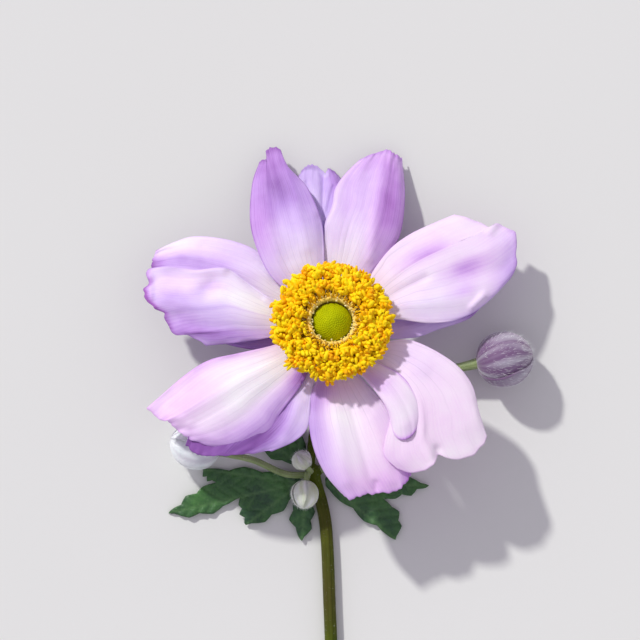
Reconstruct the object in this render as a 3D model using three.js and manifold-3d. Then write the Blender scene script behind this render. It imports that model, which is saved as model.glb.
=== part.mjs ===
// Japanese anemone flower, picked with its stem, bracts and buds, lying face up on a flat surface.
// Millimetres, +Z up. X and Y are the flower's face as seen from above, with the stem running along -Y.
// The origin is on the surface, under the middle of the whole spray.

import * as THREE from 'three';
import { mergeVertices } from 'three/addons/utils/BufferGeometryUtils.js';
import Module from 'manifold-3d';

const wasm = await Module();
wasm.setup();

// Flower axis: it leans back from the vertical, so that the top petals come down to the surface
const LEAN = THREE.MathUtils.degToRad(12);
const BASE_HEIGHT = 9.6;
const HEAD_HEIGHT = 6.6;

// Receptacle, carpel head and stamens, measured along the flower axis from the lowest petals' claws
const RECEPTACLE_RADIUS = 3.7;
const RECEPTACLE_TOP = 2.7;
const RECEPTACLE_NECK_RADIUS = 2.2;
const RECEPTACLE_NECK_TOP = 3.3;
const RECEPTACLE_SHOULDER = 0.01;
const HEAD_RADIUS = 3.7;
const HEAD_FOOT = 3.6;
const HEAD_CARPELS = 90;
const HEAD_RELIEF = 0.35;
const HEAD_DETAIL = 5;
const COLLAR_OUTER_RADIUS = 3.9;
const COLLAR_INNER_RADIUS = 2.5;
const COLLAR_RIM_RADIUS = 3.15;
const COLLAR_FOOT = 3.0;
const COLLAR_TOP = 4.2;
const COLLAR_WALL = 0.3;
const COLLAR_SIDES = 28;
const STAMEN_COUNT = 104;
const STAMEN_SIDES = 3;
const STAMEN_RING_INNER = 5.0;
const STAMEN_RING_OUTER = 10.0;
const STAMEN_HEIGHT_INNER = 10.2;
const STAMEN_HEIGHT_OUTER = 6.6;
const STAMEN_REACH_SPREAD = 0.3;
const STAMEN_HEIGHT_SPREAD = 0.8;
const STAMEN_ROOT_INSET = 0.15;
const STAMEN_ROOT_DEPTH = 0.25;
const STAMEN_SEED = 7;

// Where a stamen bends outwards: its distance from the flower axis, and its height
const ELBOW_INNER = [4.9, 6.4];
const ELBOW_OUTER = [6.6, 5.6];

// A filament tapers from root to tip. An anther's sections: share of its length, share of its radius
const FILAMENT_RADIUS = 0.19;
const FILAMENT_TAPER = [1, 0.85, 0.7];
const ANTHER_LENGTH = 1.4;
const ANTHER_RADIUS = 0.55;
const ANTHER_SECTIONS = [[0.3, 1], [0.8, 0.9], [1, 0.4]];

// Petals: claws round the receptacle in levels, each level a step above the one behind it
const PETAL_THICKNESS = 0.62;
const CLAW_RADIUS = 4.1;
const CLAW_HALF_WIDTH = 1.1;
const LEVEL_STEP = 1.0;
const LEVEL_SPREAD = 0.55;
const SPREAD_RADIUS = 19.2;
const FLOWER_RADIUS = 32;
const ARCH = 1.5;
const PETAL_ROWS = 8;
const PETAL_COLUMNS = 8;

// Shares of a petal's length or of its half width: where its camber starts and is fully formed, where the
// outer part starts to droop, and where the margins start to curl
const CAMBER_FROM = 0.1;
const CAMBER_TO = 0.6;
const DROOP_FROM = 0.45;
const CURL_FROM = 0.2;

// Stem, flower stalk and bud stalks
const STEM_RADIUS = 1.2;
const STALK_RADIUS = 0.85;
const NODE_RADIUS = 1.75;
const STEM_SIDES = 10;
const BUD_STALK_SIDES = 6;
const NODE_PLACE = [-3.5, -28.1];
const NODE_HALF_LENGTH = [-0.1, 0.6];

// Where the stalk widens into the receptacle, from below: up the face, along the flower axis, radius
const RECEPTACLE_SECTIONS = [
  [-0.6, -2.2, 0.94],
  [-0.1, -1.3, 1.36],
  [0, -0.7, 2.8],
  [0, 0, RECEPTACLE_RADIUS],
  [0, RECEPTACLE_TOP, RECEPTACLE_RADIUS],
  [0, RECEPTACLE_TOP + RECEPTACLE_SHOULDER, RECEPTACLE_NECK_RADIUS],
  [0, RECEPTACLE_NECK_TOP, RECEPTACLE_NECK_RADIUS],
];

// Sections along the curves of the stem, the flower stalk and each span of a bud's stalk
const LOWER_STEPS = 12;
const UPPER_STEPS = 8;
const BUD_STALK_STEPS = 4;

// Buds
const BUD_RINGS = 9;
const BUD_TEPALS = 5;
const BUD_SIDES = 3 * BUD_TEPALS;
const BUD_SEAM_DEPTH = 0.05;
const BUD_END_RADIUS = 0.35;

// Bracts
const LEAF_THICKNESS = 0.66;
const LEAF_RISE = 0.6;
const LEAF_FALL_REACH = 10;
const LEAF_RIPPLE = 0.3;
const LEAF_RIPPLE_REACH = 2.6;
const TOOTH_DEPTH = 0.7;
const TOOTH_NOTCH = 0.2;
const TOOTH_POINT = 0.75;

const FINISHES = {
  petalFront: { color: 0xf0dcfb, roughness: 0.6 },
  petalMiddle: { color: 0xe3c9f5, roughness: 0.6 },
  petalBack: { color: 0xb79acf, roughness: 0.6 },
  stamens: { color: 0xf4b51c, roughness: 0.7 },
  head: { color: 0xa9b01a, roughness: 0.6 },
  stem: { color: 0x4a5224, roughness: 0.6 },
  bract: { color: 0x3c5c3c, roughness: 0.5 },
  budPale: { color: 0xd6e2e8, roughness: 0.7 },
  budMauve: { color: 0x9d86a8, roughness: 0.7 },
};

// A number that rises smoothly from 0 to 1 as value goes between the two limits
const smooth = (from, to, value) => THREE.MathUtils.smoothstep(value, from, to);

// A point given along the flower axis: a to the right, b up the flower's face, h along the axis
function onAxis(a, b, h) {
  const sin = Math.sin(LEAN);
  const cos = Math.cos(LEAN);
  return new THREE.Vector3(a, (h - HEAD_HEIGHT) * sin + b * cos, BASE_HEIGHT + h * cos - b * sin);
}

// Height of the plane square to the flower axis at h
function planeHeight(y, h) {
  return BASE_HEIGHT - (y + HEAD_HEIGHT * Math.sin(LEAN)) * Math.tan(LEAN) + h / Math.cos(LEAN);
}

// A closed body from its corners and triangles, which are turned to face out if its volume is negative
function solidGeometry(corners, triangles) {
  let volume = 0;
  for (const [a, b, c] of triangles) {
    volume += corners[a].dot(new THREE.Vector3().crossVectors(corners[b], corners[c]));
  }
  const index = [];
  for (const [a, b, c] of triangles) {
    index.push(...(volume > 0 ? [a, b, c] : [a, c, b]));
  }
  const geometry = new THREE.BufferGeometry().setFromPoints(corners);
  geometry.setIndex(index);
  return geometry;
}

// A thin closed sheet: two faces with the same rows and columns of corners, and the rim between them
function sheetGeometry(upper, lower) {
  const rows = upper.length;
  const columns = upper[0].length;
  const corners = [...upper.flat(), ...lower.flat()];
  const top = (i, j) => i * columns + j;
  const bottom = (i, j) => rows * columns + i * columns + j;
  const triangles = [];
  for (let i = 0; i < rows - 1; i++) {
    for (let j = 0; j < columns - 1; j++) {
      triangles.push([top(i, j), top(i + 1, j), top(i + 1, j + 1)]);
      triangles.push([top(i, j), top(i + 1, j + 1), top(i, j + 1)]);
      triangles.push([bottom(i, j), bottom(i + 1, j + 1), bottom(i + 1, j)]);
      triangles.push([bottom(i, j), bottom(i, j + 1), bottom(i + 1, j + 1)]);
    }
  }
  const border = [];
  for (let j = 0; j < columns - 1; j++) {
    border.push([0, j]);
  }
  for (let i = 0; i < rows - 1; i++) {
    border.push([i, columns - 1]);
  }
  for (let j = columns - 1; j > 0; j--) {
    border.push([rows - 1, j]);
  }
  for (let i = rows - 1; i > 0; i--) {
    border.push([i, 0]);
  }
  border.forEach(([i, j], n) => {
    const [k, l] = border[(n + 1) % border.length];
    triangles.push([top(i, j), top(k, l), bottom(k, l)]);
    triangles.push([top(i, j), bottom(k, l), bottom(i, j)]);
  });
  return solidGeometry(corners, triangles);
}

// A closed body through a list of rings with the same number of points, flat at its two ends
function ringsGeometry(rings) {
  const sides = rings[0].length;
  const corners = rings.flat();
  const triangles = [];
  for (let i = 0; i < rings.length - 1; i++) {
    for (let j = 0; j < sides; j++) {
      const next = (j + 1) % sides;
      triangles.push([i * sides + j, i * sides + next, (i + 1) * sides + next]);
      triangles.push([i * sides + j, (i + 1) * sides + next, (i + 1) * sides + j]);
    }
  }
  const last = (rings.length - 1) * sides;
  for (let j = 1; j < sides - 1; j++) {
    triangles.push([0, j + 1, j]);
    triangles.push([last, last + j, last + j + 1]);
  }
  return solidGeometry(corners, triangles);
}

// Rings of a tube along a path, with a flat side down where the path lies level
function tubeRings(path, radii, sides) {
  const turn = Math.PI / sides;
  return path.map((point, i) => {
    const ahead = path[Math.min(i + 1, path.length - 1)];
    const behind = path[Math.max(i - 1, 0)];
    const along = new THREE.Vector3().subVectors(ahead, behind).normalize();
    const side = new THREE.Vector3(along.y, -along.x, 0).normalize();
    const up = new THREE.Vector3().crossVectors(side, along).normalize();
    const ring = [];
    for (let k = 0; k < sides; k++) {
      const angle = -Math.PI / 2 + turn + (2 * Math.PI * k) / sides;
      ring.push(point.clone()
        .addScaledVector(side, radii[i] * Math.cos(angle))
        .addScaledVector(up, radii[i] * Math.sin(angle)));
    }
    return ring;
  });
}

// A solid from a closed mesh, whose corners in the same place are made one
function toSolid(geometry) {
  const bare = geometry.clone();
  bare.deleteAttribute('normal');
  bare.deleteAttribute('uv');
  const merged = mergeVertices(bare, 1e-4);
  return new wasm.Manifold(new wasm.Mesh({
    numProp: 3,
    vertProperties: new Float32Array(merged.attributes.position.array),
    triVerts: new Uint32Array(merged.index.array),
  }));
}

// Closed meshes that reach into each other, joined into one
function fuse(geometries) {
  const whole = geometries.map(toSolid).reduce((sum, piece) => sum.add(piece));
  const mesh = whole.getMesh();
  const geometry = new THREE.BufferGeometry();
  geometry.setAttribute('position', new THREE.BufferAttribute(new Float32Array(mesh.vertProperties), 3));
  geometry.setIndex(new THREE.BufferAttribute(new Uint32Array(mesh.triVerts), 1));
  return geometry;
}

// Random numbers from 0 to 1, the same ones each time for a seed
function seededRandom(seed) {
  let state = seed;
  return () => {
    state = (state * 1664525 + 1013904223) % 4294967296;
    return state / 4294967296;
  };
}

// Petals. Each lists its outline in plan, from above: the left margin from claw to corner, the outer edge
// from corner to corner, and the right margin from claw to corner, left and right as seen from the centre.
// level: 0 behind to 3 in front; angle: where its claw joins the receptacle, in degrees from +X
// camber: how far the margins fall below the middle; curl: a further fall towards the left and the right
// droop: fall of the outer edge; wave: height and number of the waves along the outer edge
const PETALS = {
  petal_top_left: {
    level: 2, angle: 114, camber: 0.5, curl: [0.8, 0.2], droop: 2.6, wave: [0.3, 1.5],
    left: [[-9.6, 6.9], [-12.9, 11.3], [-15.1, 18.1], [-14.9, 25.5]],
    edge: [[-13.6, 30.0], [-12.0, 30.9], [-12.3, 32.0], [-11.2, 32.8], [-9.6, 32.3], [-9.2, 29.9]],
    right: [[-1.3, 9.5], [-1.5, 14.7], [-2.0, 19.2], [-4.3, 24.7], [-6.4, 27.3]],
  },
  petal_top_right: {
    level: 1, angle: 74, camber: 0.2, curl: [0.2, 3.6], droop: 1.4, wave: [0.2, 1.5],
    left: [[-1.0, 8.5], [-1.3, 14.5], [-1.1, 18.5], [0.0, 21.8], [0.6, 25.0], [2.5, 27.8]],
    edge: [[5.3, 30.5], [7.8, 31.6], [10.4, 32.4], [11.7, 31.6], [13.1, 30.7]],
    right: [[6.5, 8.2], [10.6, 13.0], [12.8, 16.9], [13.6, 23.7]],
  },
  petal_top_back: {
    level: 0, angle: 95, camber: 0.1, curl: [0, 0], droop: 4.4, wave: [0.2, 1.5],
    left: [[-3.6, 8.0], [-6.6, 14.0], [-8.1, 20.0]],
    edge: [[-6.4, 27.2], [-5.1, 29.2], [-3.3, 29.5], [-1.3, 28.3], [-0.4, 28.9], [1.5, 27.2]],
    right: [[2.6, 8.0], [4.4, 14.0], [4.6, 20.0]],
  },
  petal_right: {
    level: 2, angle: 20, camber: 0.4, curl: [0.3, 0.6], droop: 1.2, wave: [0.2, 2],
    left: [[6.4, 7.6], [10.2, 13.1], [14.2, 16.3], [19.2, 18.7]],
    edge: [[22.8, 20.2], [26.2, 19.2], [29.4, 17.8], [30.5, 18.5], [32.5, 17.6], [34.1, 16.6], [34.2, 13.0],
      [33.9, 9.6], [31.6, 6.7], [29.2, 5.0], [27.5, 4.8]],
    right: [[7.4, -0.1], [11.8, 0.7], [17.5, 0.0], [22.8, 0.5], [26.0, 2.3]],
  },
  petal_right_back: {
    level: 0, angle: 2, camber: 0.2, curl: [0, 1.2], droop: 2.4, wave: [0.2, 1],
    left: [[8.4, 2.6], [14.4, 7.0], [20.9, 9.6]],
    edge: [[26.5, 9.6], [28.6, 8.2], [29.2, 5.2], [27.9, 3.2]],
    right: [[9.0, -2.9], [15.2, -2.7], [19.2, -1.4], [25.2, 0.7]],
  },
  petal_lower_right: {
    level: 2, angle: 319, camber: 0.3, curl: [0.7, 0.2], droop: 1.0, wave: [0.4, 2],
    left: [[8.6, -3.6], [14.6, -3.2], [21.9, -6.9], [25.7, -11.2], [27.1, -16.4]],
    edge: [[28.5, -20.6], [28.0, -22.2], [25.9, -24.4], [22.4, -25.1], [19.6, -24.4], [18.9, -26.0],
      [17.2, -27.0], [14.8, -27.7], [12.0, -26.8]],
    right: [[6.0, -8.6], [9.4, -14.0], [10.6, -17.6], [9.7, -21.6], [9.6, -24.4]],
  },
  petal_small: {
    level: 3, angle: 301, camber: 0.5, curl: [0.2, 0.2], droop: 0.6, wave: [0.2, 1],
    left: [[7.4, -6.8], [12.2, -9.2], [15.2, -12.7], [16.3, -15.8]],
    edge: [[16.3, -17.8], [15.3, -19.9], [14.2, -21.1], [12.8, -21.5], [11.6, -20.7], [10.8, -18.8]],
    right: [[5.2, -9.4], [8.8, -13.6], [10.2, -16.2]],
  },
  petal_bottom: {
    level: 1, angle: 281, camber: 0.4, curl: [0.1, 0.6], droop: 1.6, wave: [0.3, 1.5],
    left: [[4.8, -9.4], [9.8, -15.2], [12.6, -20.7], [14.2, -25.0]],
    edge: [[14.6, -27.9], [13.6, -29.5], [11.8, -31.0], [8.2, -31.4], [5.5, -31.7], [3.3, -32.5],
      [1.6, -31.2]],
    right: [[-2.2, -9.0], [-3.9, -13.4], [-4.3, -18.2], [-3.3, -23.4], [-1.2, -27.9]],
  },
  petal_lower_left: {
    level: 2, angle: 214, camber: 0.5, curl: [1.2, 0.3], droop: 1.2, wave: [0.3, 2],
    left: [[-3.8, -6.8], [-5.3, -10.8], [-9.2, -16.2], [-11.3, -19.6], [-14.3, -21.7], [-17.5, -22.9]],
    edge: [[-21.1, -23.2], [-26.0, -21.5], [-28.5, -19.8], [-30.2, -18.1], [-31.7, -17.8], [-34.2, -15.7]],
    right: [[-8.0, -3.3], [-12.0, -4.4], [-17.4, -5.6], [-22.8, -6.9], [-27.4, -9.8]],
  },
  petal_lower_left_back: {
    level: 0, angle: 238, camber: 0.1, curl: [0.2, 0], droop: 1.6, wave: [0.2, 1],
    left: [[-2.8, -9.0], [-3.9, -14.0], [-4.4, -19.0], [-6.8, -21.7]],
    edge: [[-11.1, -23.6], [-17.0, -24.3], [-21.6, -24.5], [-24.9, -24.2], [-27.0, -22.5]],
    right: [[-6.6, -7.4], [-12.9, -10.6], [-19.5, -13.8], [-24.9, -18.0]],
  },
  petal_left: {
    level: 2, angle: 176, camber: 0.4, curl: [1.3, 0.2], droop: 1.4, wave: [0.35, 2],
    left: [[-7.6, -1.8], [-12.0, -2.8], [-17.3, -3.6]],
    edge: [[-23.3, -4.2], [-26.7, -2.3], [-29.5, -2.0], [-30.7, 1.3], [-33.2, 3.0], [-34.7, 4.8],
      [-34.6, 6.8], [-33.6, 10.0]],
    right: [[-6.9, 2.0], [-12.0, 5.0], [-16.3, 8.1], [-19.7, 10.2], [-25.2, 9.9], [-30.3, 10.5]],
  },
  petal_upper_left: {
    level: 1, angle: 150, camber: 0.2, curl: [0, 0.4], droop: 1.4, wave: [0.2, 1],
    left: [[-8.0, 2.4], [-15.0, 3.4], [-24.4, 6.0]],
    edge: [[-31.4, 7.5], [-33.4, 9.2], [-33.5, 11.0], [-33.2, 12.2], [-32.7, 13.5]],
    right: [[-6.2, 5.0], [-9.3, 7.7], [-12.0, 11.5], [-15.0, 14.0], [-20.0, 15.6], [-25.5, 16.1],
      [-29.2, 15.1]],
  },
  petal_left_back: {
    level: 0, angle: 193, camber: 0.1, curl: [0.6, 0], droop: 1.8, wave: [0.2, 1],
    left: [[-8.5, -4.0], [-14.7, -4.9], [-21.5, -3.3]],
    edge: [[-28.1, -0.4], [-30.7, 1.7], [-31.3, 3.9], [-30.0, 5.6]],
    right: [[-8.5, 1.2], [-15.2, 4.3], [-22.6, 6.4]],
  },
};

const FINISH_OF_LEVEL = [FINISHES.petalBack, FINISHES.petalMiddle, FINISHES.petalFront, FINISHES.petalFront];

// The petal's plan: four sides, the claw and the outer edge joined by the two margins
function petalPlan(petal) {
  const h = petal.level * LEVEL_STEP;
  const angle = THREE.MathUtils.degToRad(petal.angle);
  const clawCorner = (across) => {
    const a = CLAW_RADIUS * Math.cos(angle) - across * CLAW_HALF_WIDTH * Math.sin(angle);
    const b = CLAW_RADIUS * Math.sin(angle) + across * CLAW_HALF_WIDTH * Math.cos(angle);
    const place = onAxis(a, b, h);
    return new THREE.Vector2(place.x, place.y);
  };
  const curve = (points) => new THREE.SplineCurve(points);
  const listed = (points) => points.map(([x, y]) => new THREE.Vector2(x, y));
  const edgePoints = listed(petal.edge);
  const clawLeft = clawCorner(1);
  const clawRight = clawCorner(-1);
  const left = curve([clawLeft, ...listed(petal.left), edgePoints[0]]);
  const right = curve([clawRight, ...listed(petal.right), edgePoints[edgePoints.length - 1]]);
  const edge = curve(edgePoints);
  const cornerLeft = edgePoints[0];
  const cornerRight = edgePoints[edgePoints.length - 1];
  return (u, v) => {
    const fromClaw = clawLeft.clone().lerp(clawRight, v).multiplyScalar(1 - u)
      .addScaledVector(edge.getPoint(v), u);
    const fromMargins = left.getPointAt(u).multiplyScalar(1 - v)
      .addScaledVector(right.getPointAt(u), v);
    const fromCorners = clawLeft.clone().lerp(clawRight, v).multiplyScalar(1 - u)
      .addScaledVector(cornerLeft.clone().lerp(cornerRight, v), u);
    return fromClaw.add(fromMargins).sub(fromCorners);
  };
}

// Height of the petal's middle surface at a place of its plan
function petalHeight(petal, place, u, v) {
  const h = petal.level * LEVEL_STEP;
  const reach = Math.hypot(place.x, place.y);
  const spread = petal.level * LEVEL_SPREAD * smooth(CLAW_RADIUS, SPREAD_RADIUS, reach);
  const arch = ARCH * Math.sin(Math.PI * THREE.MathUtils.clamp((reach - CLAW_RADIUS) / FLOWER_RADIUS, 0, 1));
  const across = 2 * v - 1;
  const fallLeft = petal.curl[0] * Math.max(0, -across - CURL_FROM) ** 2;
  const fallRight = petal.curl[1] * Math.max(0, across - CURL_FROM) ** 2;
  const camber = (petal.camber * across ** 2 + fallLeft + fallRight) * smooth(CAMBER_FROM, CAMBER_TO, u);
  const droop = petal.droop * Math.max(0, (u - DROOP_FROM) / (1 - DROOP_FROM)) ** 2;
  const [waveHeight, waves] = petal.wave;
  const wave = waveHeight * Math.sin(2 * Math.PI * waves * v) * u ** 3;
  const height = planeHeight(place.y, h) + spread + arch - camber - droop + wave;
  return Math.max(height, PETAL_THICKNESS / 2);
}

// A petal: its middle surface, thickened to both sides, and nowhere below the surface it lies on
function petalGeometry(petal) {
  const plan = petalPlan(petal);
  const spans = petal.edge.length - 1;
  const columns = spans * Math.max(1, Math.round(PETAL_COLUMNS / spans));
  const middle = [];
  for (let i = 0; i <= PETAL_ROWS; i++) {
    const row = [];
    for (let j = 0; j <= columns; j++) {
      const u = i / PETAL_ROWS;
      const v = j / columns;
      const place = plan(u, v);
      row.push(new THREE.Vector3(place.x, place.y, petalHeight(petal, place, u, v)));
    }
    middle.push(row);
  }
  const offset = (side) => middle.map((row, i) => row.map((point, j) => {
    const ahead = middle[Math.min(i + 1, PETAL_ROWS)][j];
    const behind = middle[Math.max(i - 1, 0)][j];
    const along = new THREE.Vector3().subVectors(ahead, behind);
    const across = new THREE.Vector3().subVectors(row[Math.min(j + 1, columns)], row[Math.max(j - 1, 0)]);
    const normal = new THREE.Vector3().crossVectors(across, along).normalize();
    const moved = point.clone().addScaledVector(normal, (side * PETAL_THICKNESS) / 2);
    moved.z = Math.max(moved.z, 0);
    return moved;
  }));
  return sheetGeometry(offset(1), offset(-1));
}

// Stamens: filaments that rise from a collar round the carpel head and spread, each with its anther
function stamenGeometry(rank, azimuth, random) {
  const { lerp } = THREE.MathUtils;
  const ring = Math.sqrt(lerp(STAMEN_RING_INNER ** 2, STAMEN_RING_OUTER ** 2, rank));
  const reach = ring + STAMEN_REACH_SPREAD * (random() - 0.5);
  const rise = STAMEN_HEIGHT_SPREAD * (random() - 0.5);
  const height = lerp(STAMEN_HEIGHT_INNER, STAMEN_HEIGHT_OUTER, rank) + rise;
  const rootReach = lerp(COLLAR_RIM_RADIUS + STAMEN_ROOT_INSET, COLLAR_OUTER_RADIUS - COLLAR_WALL, rank);
  const rootHeight = lerp(COLLAR_TOP - STAMEN_ROOT_DEPTH, COLLAR_FOOT + COLLAR_WALL, rank);
  const [elbowReach, elbowHeight] = ELBOW_INNER.map((inner, i) => lerp(inner, ELBOW_OUTER[i], rank));
  const curve = new THREE.QuadraticBezierCurve3(
    new THREE.Vector3(rootReach, 0, rootHeight),
    new THREE.Vector3(elbowReach, 0, elbowHeight),
    new THREE.Vector3(reach, 0, height),
  );
  const along = curve.getTangentAt(1);
  const end = curve.getPointAt(1);
  const path = FILAMENT_TAPER.map((share, i) => curve.getPointAt(i / (FILAMENT_TAPER.length - 1)));
  const radii = FILAMENT_TAPER.map((share) => share * FILAMENT_RADIUS);
  for (const [step, radius] of ANTHER_SECTIONS) {
    path.push(end.clone().addScaledVector(along, step * ANTHER_LENGTH));
    radii.push(radius * ANTHER_RADIUS);
  }
  const up = new THREE.Vector3(0, 0, 1);
  const placed = path.map((point) => {
    const turned = point.clone().applyAxisAngle(up, azimuth);
    return onAxis(turned.x, turned.y, turned.z);
  });
  return ringsGeometry(tubeRings(placed, radii, STAMEN_SIDES));
}

// Turns a shape made round +Y onto the flower axis
function alongAxis(geometry) {
  const place = geometry.attributes.position;
  for (let i = 0; i < place.count; i++) {
    const { x, y, z } = onAxis(place.getX(i), -place.getZ(i), place.getY(i));
    place.setXYZ(i, x, y, z);
  }
  return geometry;
}

// The collar that the stamens are rooted in
function collarGeometry() {
  const profile = [
    [COLLAR_INNER_RADIUS, COLLAR_FOOT],
    [COLLAR_OUTER_RADIUS, COLLAR_FOOT],
    [COLLAR_OUTER_RADIUS, COLLAR_FOOT + COLLAR_WALL],
    [COLLAR_RIM_RADIUS + COLLAR_WALL, COLLAR_TOP],
    [COLLAR_RIM_RADIUS, COLLAR_TOP],
    [COLLAR_INNER_RADIUS, COLLAR_FOOT],
  ];
  const ring = new THREE.LatheGeometry(profile.map(([r, h]) => new THREE.Vector2(r, h)), COLLAR_SIDES);
  return alongAxis(ring);
}

// The golden angle: places that follow each other by it are spread evenly round an axis
const GOLDEN_ANGLE = Math.PI * (3 - Math.sqrt(5));

function stamensGeometry() {
  const random = seededRandom(STAMEN_SEED);
  const pieces = [collarGeometry()];
  for (let n = 0; n < STAMEN_COUNT; n++) {
    pieces.push(stamenGeometry((n + 0.5) / STAMEN_COUNT, n * GOLDEN_ANGLE, random));
  }
  return fuse(pieces);
}

// Carpel head: a ball of small carpels, each a low bump, on a flat foot
function carpelHeadGeometry() {
  const carpels = [];
  for (let n = 0; n < HEAD_CARPELS; n++) {
    const height = 1 - (2 * (n + 0.5)) / HEAD_CARPELS;
    const ring = Math.sqrt(1 - height ** 2);
    const azimuth = n * GOLDEN_ANGLE;
    carpels.push(new THREE.Vector3(ring * Math.cos(azimuth), height, ring * Math.sin(azimuth)));
  }
  const reach = Math.sqrt(4 / HEAD_CARPELS);
  const ball = new THREE.IcosahedronGeometry(1, HEAD_DETAIL);
  const place = ball.attributes.position;
  const point = new THREE.Vector3();
  for (let i = 0; i < place.count; i++) {
    point.fromBufferAttribute(place, i).normalize();
    const nearest = Math.min(...carpels.map((carpel) => carpel.distanceTo(point)));
    const sunk = HEAD_RELIEF * Math.min(1, nearest / reach) ** 2;
    point.multiplyScalar(HEAD_RADIUS - sunk);
    place.setXYZ(i, point.x, Math.max(point.y + HEAD_HEIGHT, HEAD_FOOT), point.z);
  }
  return alongAxis(ball);
}

// Points along a smooth curve through the given ones
function smoothPath(points, steps) {
  const places = points.map((point) => new THREE.Vector3(...point));
  return new THREE.CatmullRomCurve3(places, false, 'centripetal').getPoints(steps);
}

// Height of a tube's middle when its flat side lies on the surface
const restingHeight = (radius, sides) => radius * Math.cos(Math.PI / sides);

// Stem: it lies on the surface as far as the node, rises behind the flower, and widens into the receptacle
function stemGeometry() {
  const lying = restingHeight(STEM_RADIUS, STEM_SIDES);
  const lower = smoothPath([
    [2.4, -86.0, lying],
    [0.4, -70.0, lying],
    [-0.3, -55.0, lying],
    [-1.1, -38.1, lying],
    [-2.9, -30.2, lying],
  ], LOWER_STEPS);
  const upper = smoothPath([
    [-4.0, -26.4, 1.5],
    [-3.4, -20.0, 2.4],
    [-2.2, -12.5, 4.2],
    [-0.8, -6.2, 6.0],
  ], UPPER_STEPS);
  const [nodeX, nodeY] = NODE_PLACE;
  const [halfX, halfY] = NODE_HALF_LENGTH;
  const nodeHeight = restingHeight(NODE_RADIUS, STEM_SIDES);
  const path = [
    ...lower,
    new THREE.Vector3(nodeX - halfX, nodeY - halfY, nodeHeight),
    new THREE.Vector3(nodeX + halfX, nodeY + halfY, nodeHeight),
    ...upper,
    ...RECEPTACLE_SECTIONS.map(([b, h]) => onAxis(0, b, h)),
  ];
  const radii = [
    ...lower.map(() => STEM_RADIUS),
    NODE_RADIUS,
    NODE_RADIUS,
    ...upper.map(() => STALK_RADIUS),
    ...RECEPTACLE_SECTIONS.map(([, , radius]) => radius),
  ];
  return ringsGeometry(tubeRings(path, radii, STEM_SIDES));
}

function stemWithStalksGeometry() {
  const stalks = Object.values(BUDS).map(({ stalk, stalkRadius }) => {
    const path = smoothPath(stalk, BUD_STALK_STEPS * (stalk.length - 1));
    return ringsGeometry(tubeRings(path, path.map(() => stalkRadius), BUD_STALK_SIDES));
  });
  return fuse([stemGeometry(), ...stalks]);
}

// Buds: closed tepals folded round each other, with seams between them. foot and tip are the two ends of
// the bud's axis; lies: it rests on the surface; its stalk runs from inside the node to the foot
const BUDS = {
  bud_left: {
    foot: [-20.9, -24.2, 4.2], tip: [-30.1, -21.6, 4.9], radius: 4.6, lies: true,
    finish: FINISHES.budPale, stalkRadius: 0.62,
    stalk: [[-3.6, -28.3, 1.4], [-8.6, -28.2, 2.4], [-14.6, -25.6, 3.2], [-20.5, -24.3, 4.15]],
  },
  bud_right: {
    foot: [26.9, -7.6, 5.0], tip: [37.5, -6.0, 5.4], radius: 5.35, lies: true,
    finish: FINISHES.budMauve, stalkRadius: 0.8,
    stalk: [[-3.4, -27.8, 1.5], [4.0, -24.6, 1.5], [13.6, -17.4, 2.2], [20.4, -9.8, 4.2], [26.5, -7.7, 5.0]],
  },
  bud_small_upper: {
    foot: [-4.6, -26.9, 4.4], tip: [-6.6, -24.2, 6.0], radius: 2.0, lies: false,
    finish: FINISHES.budPale, stalkRadius: 0.5,
    stalk: [[-3.7, -28.2, 1.6], [-3.9, -27.7, 3.2], [-4.5, -27.0, 4.3]],
  },
  bud_small_lower: {
    foot: [-4.7, -29.3, 4.6], tip: [-5.5, -34.6, 5.4], radius: 2.7, lies: false,
    finish: FINISHES.budPale, stalkRadius: 0.55,
    stalk: [[-3.8, -28.0, 1.6], [-4.5, -28.2, 3.4], [-4.7, -29.0, 4.5]],
  },
};

function budGeometry({ foot, tip, radius, lies }) {
  const start = new THREE.Vector3(...foot);
  const axis = new THREE.Vector3(...tip).sub(start);
  const length = axis.length();
  axis.normalize();
  const side = new THREE.Vector3(axis.y, -axis.x, 0).normalize();
  const up = new THREE.Vector3().crossVectors(side, axis);
  const rings = [];
  for (let i = 0; i <= BUD_RINGS; i++) {
    const along = (1 - Math.cos((Math.PI * i) / BUD_RINGS)) / 2;
    const girth = radius * Math.sqrt(Math.max(0, 1 - (2 * along - 1) ** 2));
    const ring = [];
    for (let j = 0; j < BUD_SIDES; j++) {
      const angle = (2 * Math.PI * j) / BUD_SIDES;
      const seam = j % (BUD_SIDES / BUD_TEPALS) === 0 ? BUD_SEAM_DEPTH : 0;
      const reach = Math.max(girth * (1 - seam), BUD_END_RADIUS);
      ring.push(start.clone()
        .addScaledVector(axis, along * length)
        .addScaledVector(side, reach * Math.cos(angle + along))
        .addScaledVector(up, reach * Math.sin(angle + along)));
    }
    rings.push(ring);
  }
  const geometry = ringsGeometry(rings);
  if (lies) {
    geometry.computeBoundingBox();
    geometry.translate(0, 0, -geometry.boundingBox.min.z);
  }
  return geometry;
}

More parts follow.
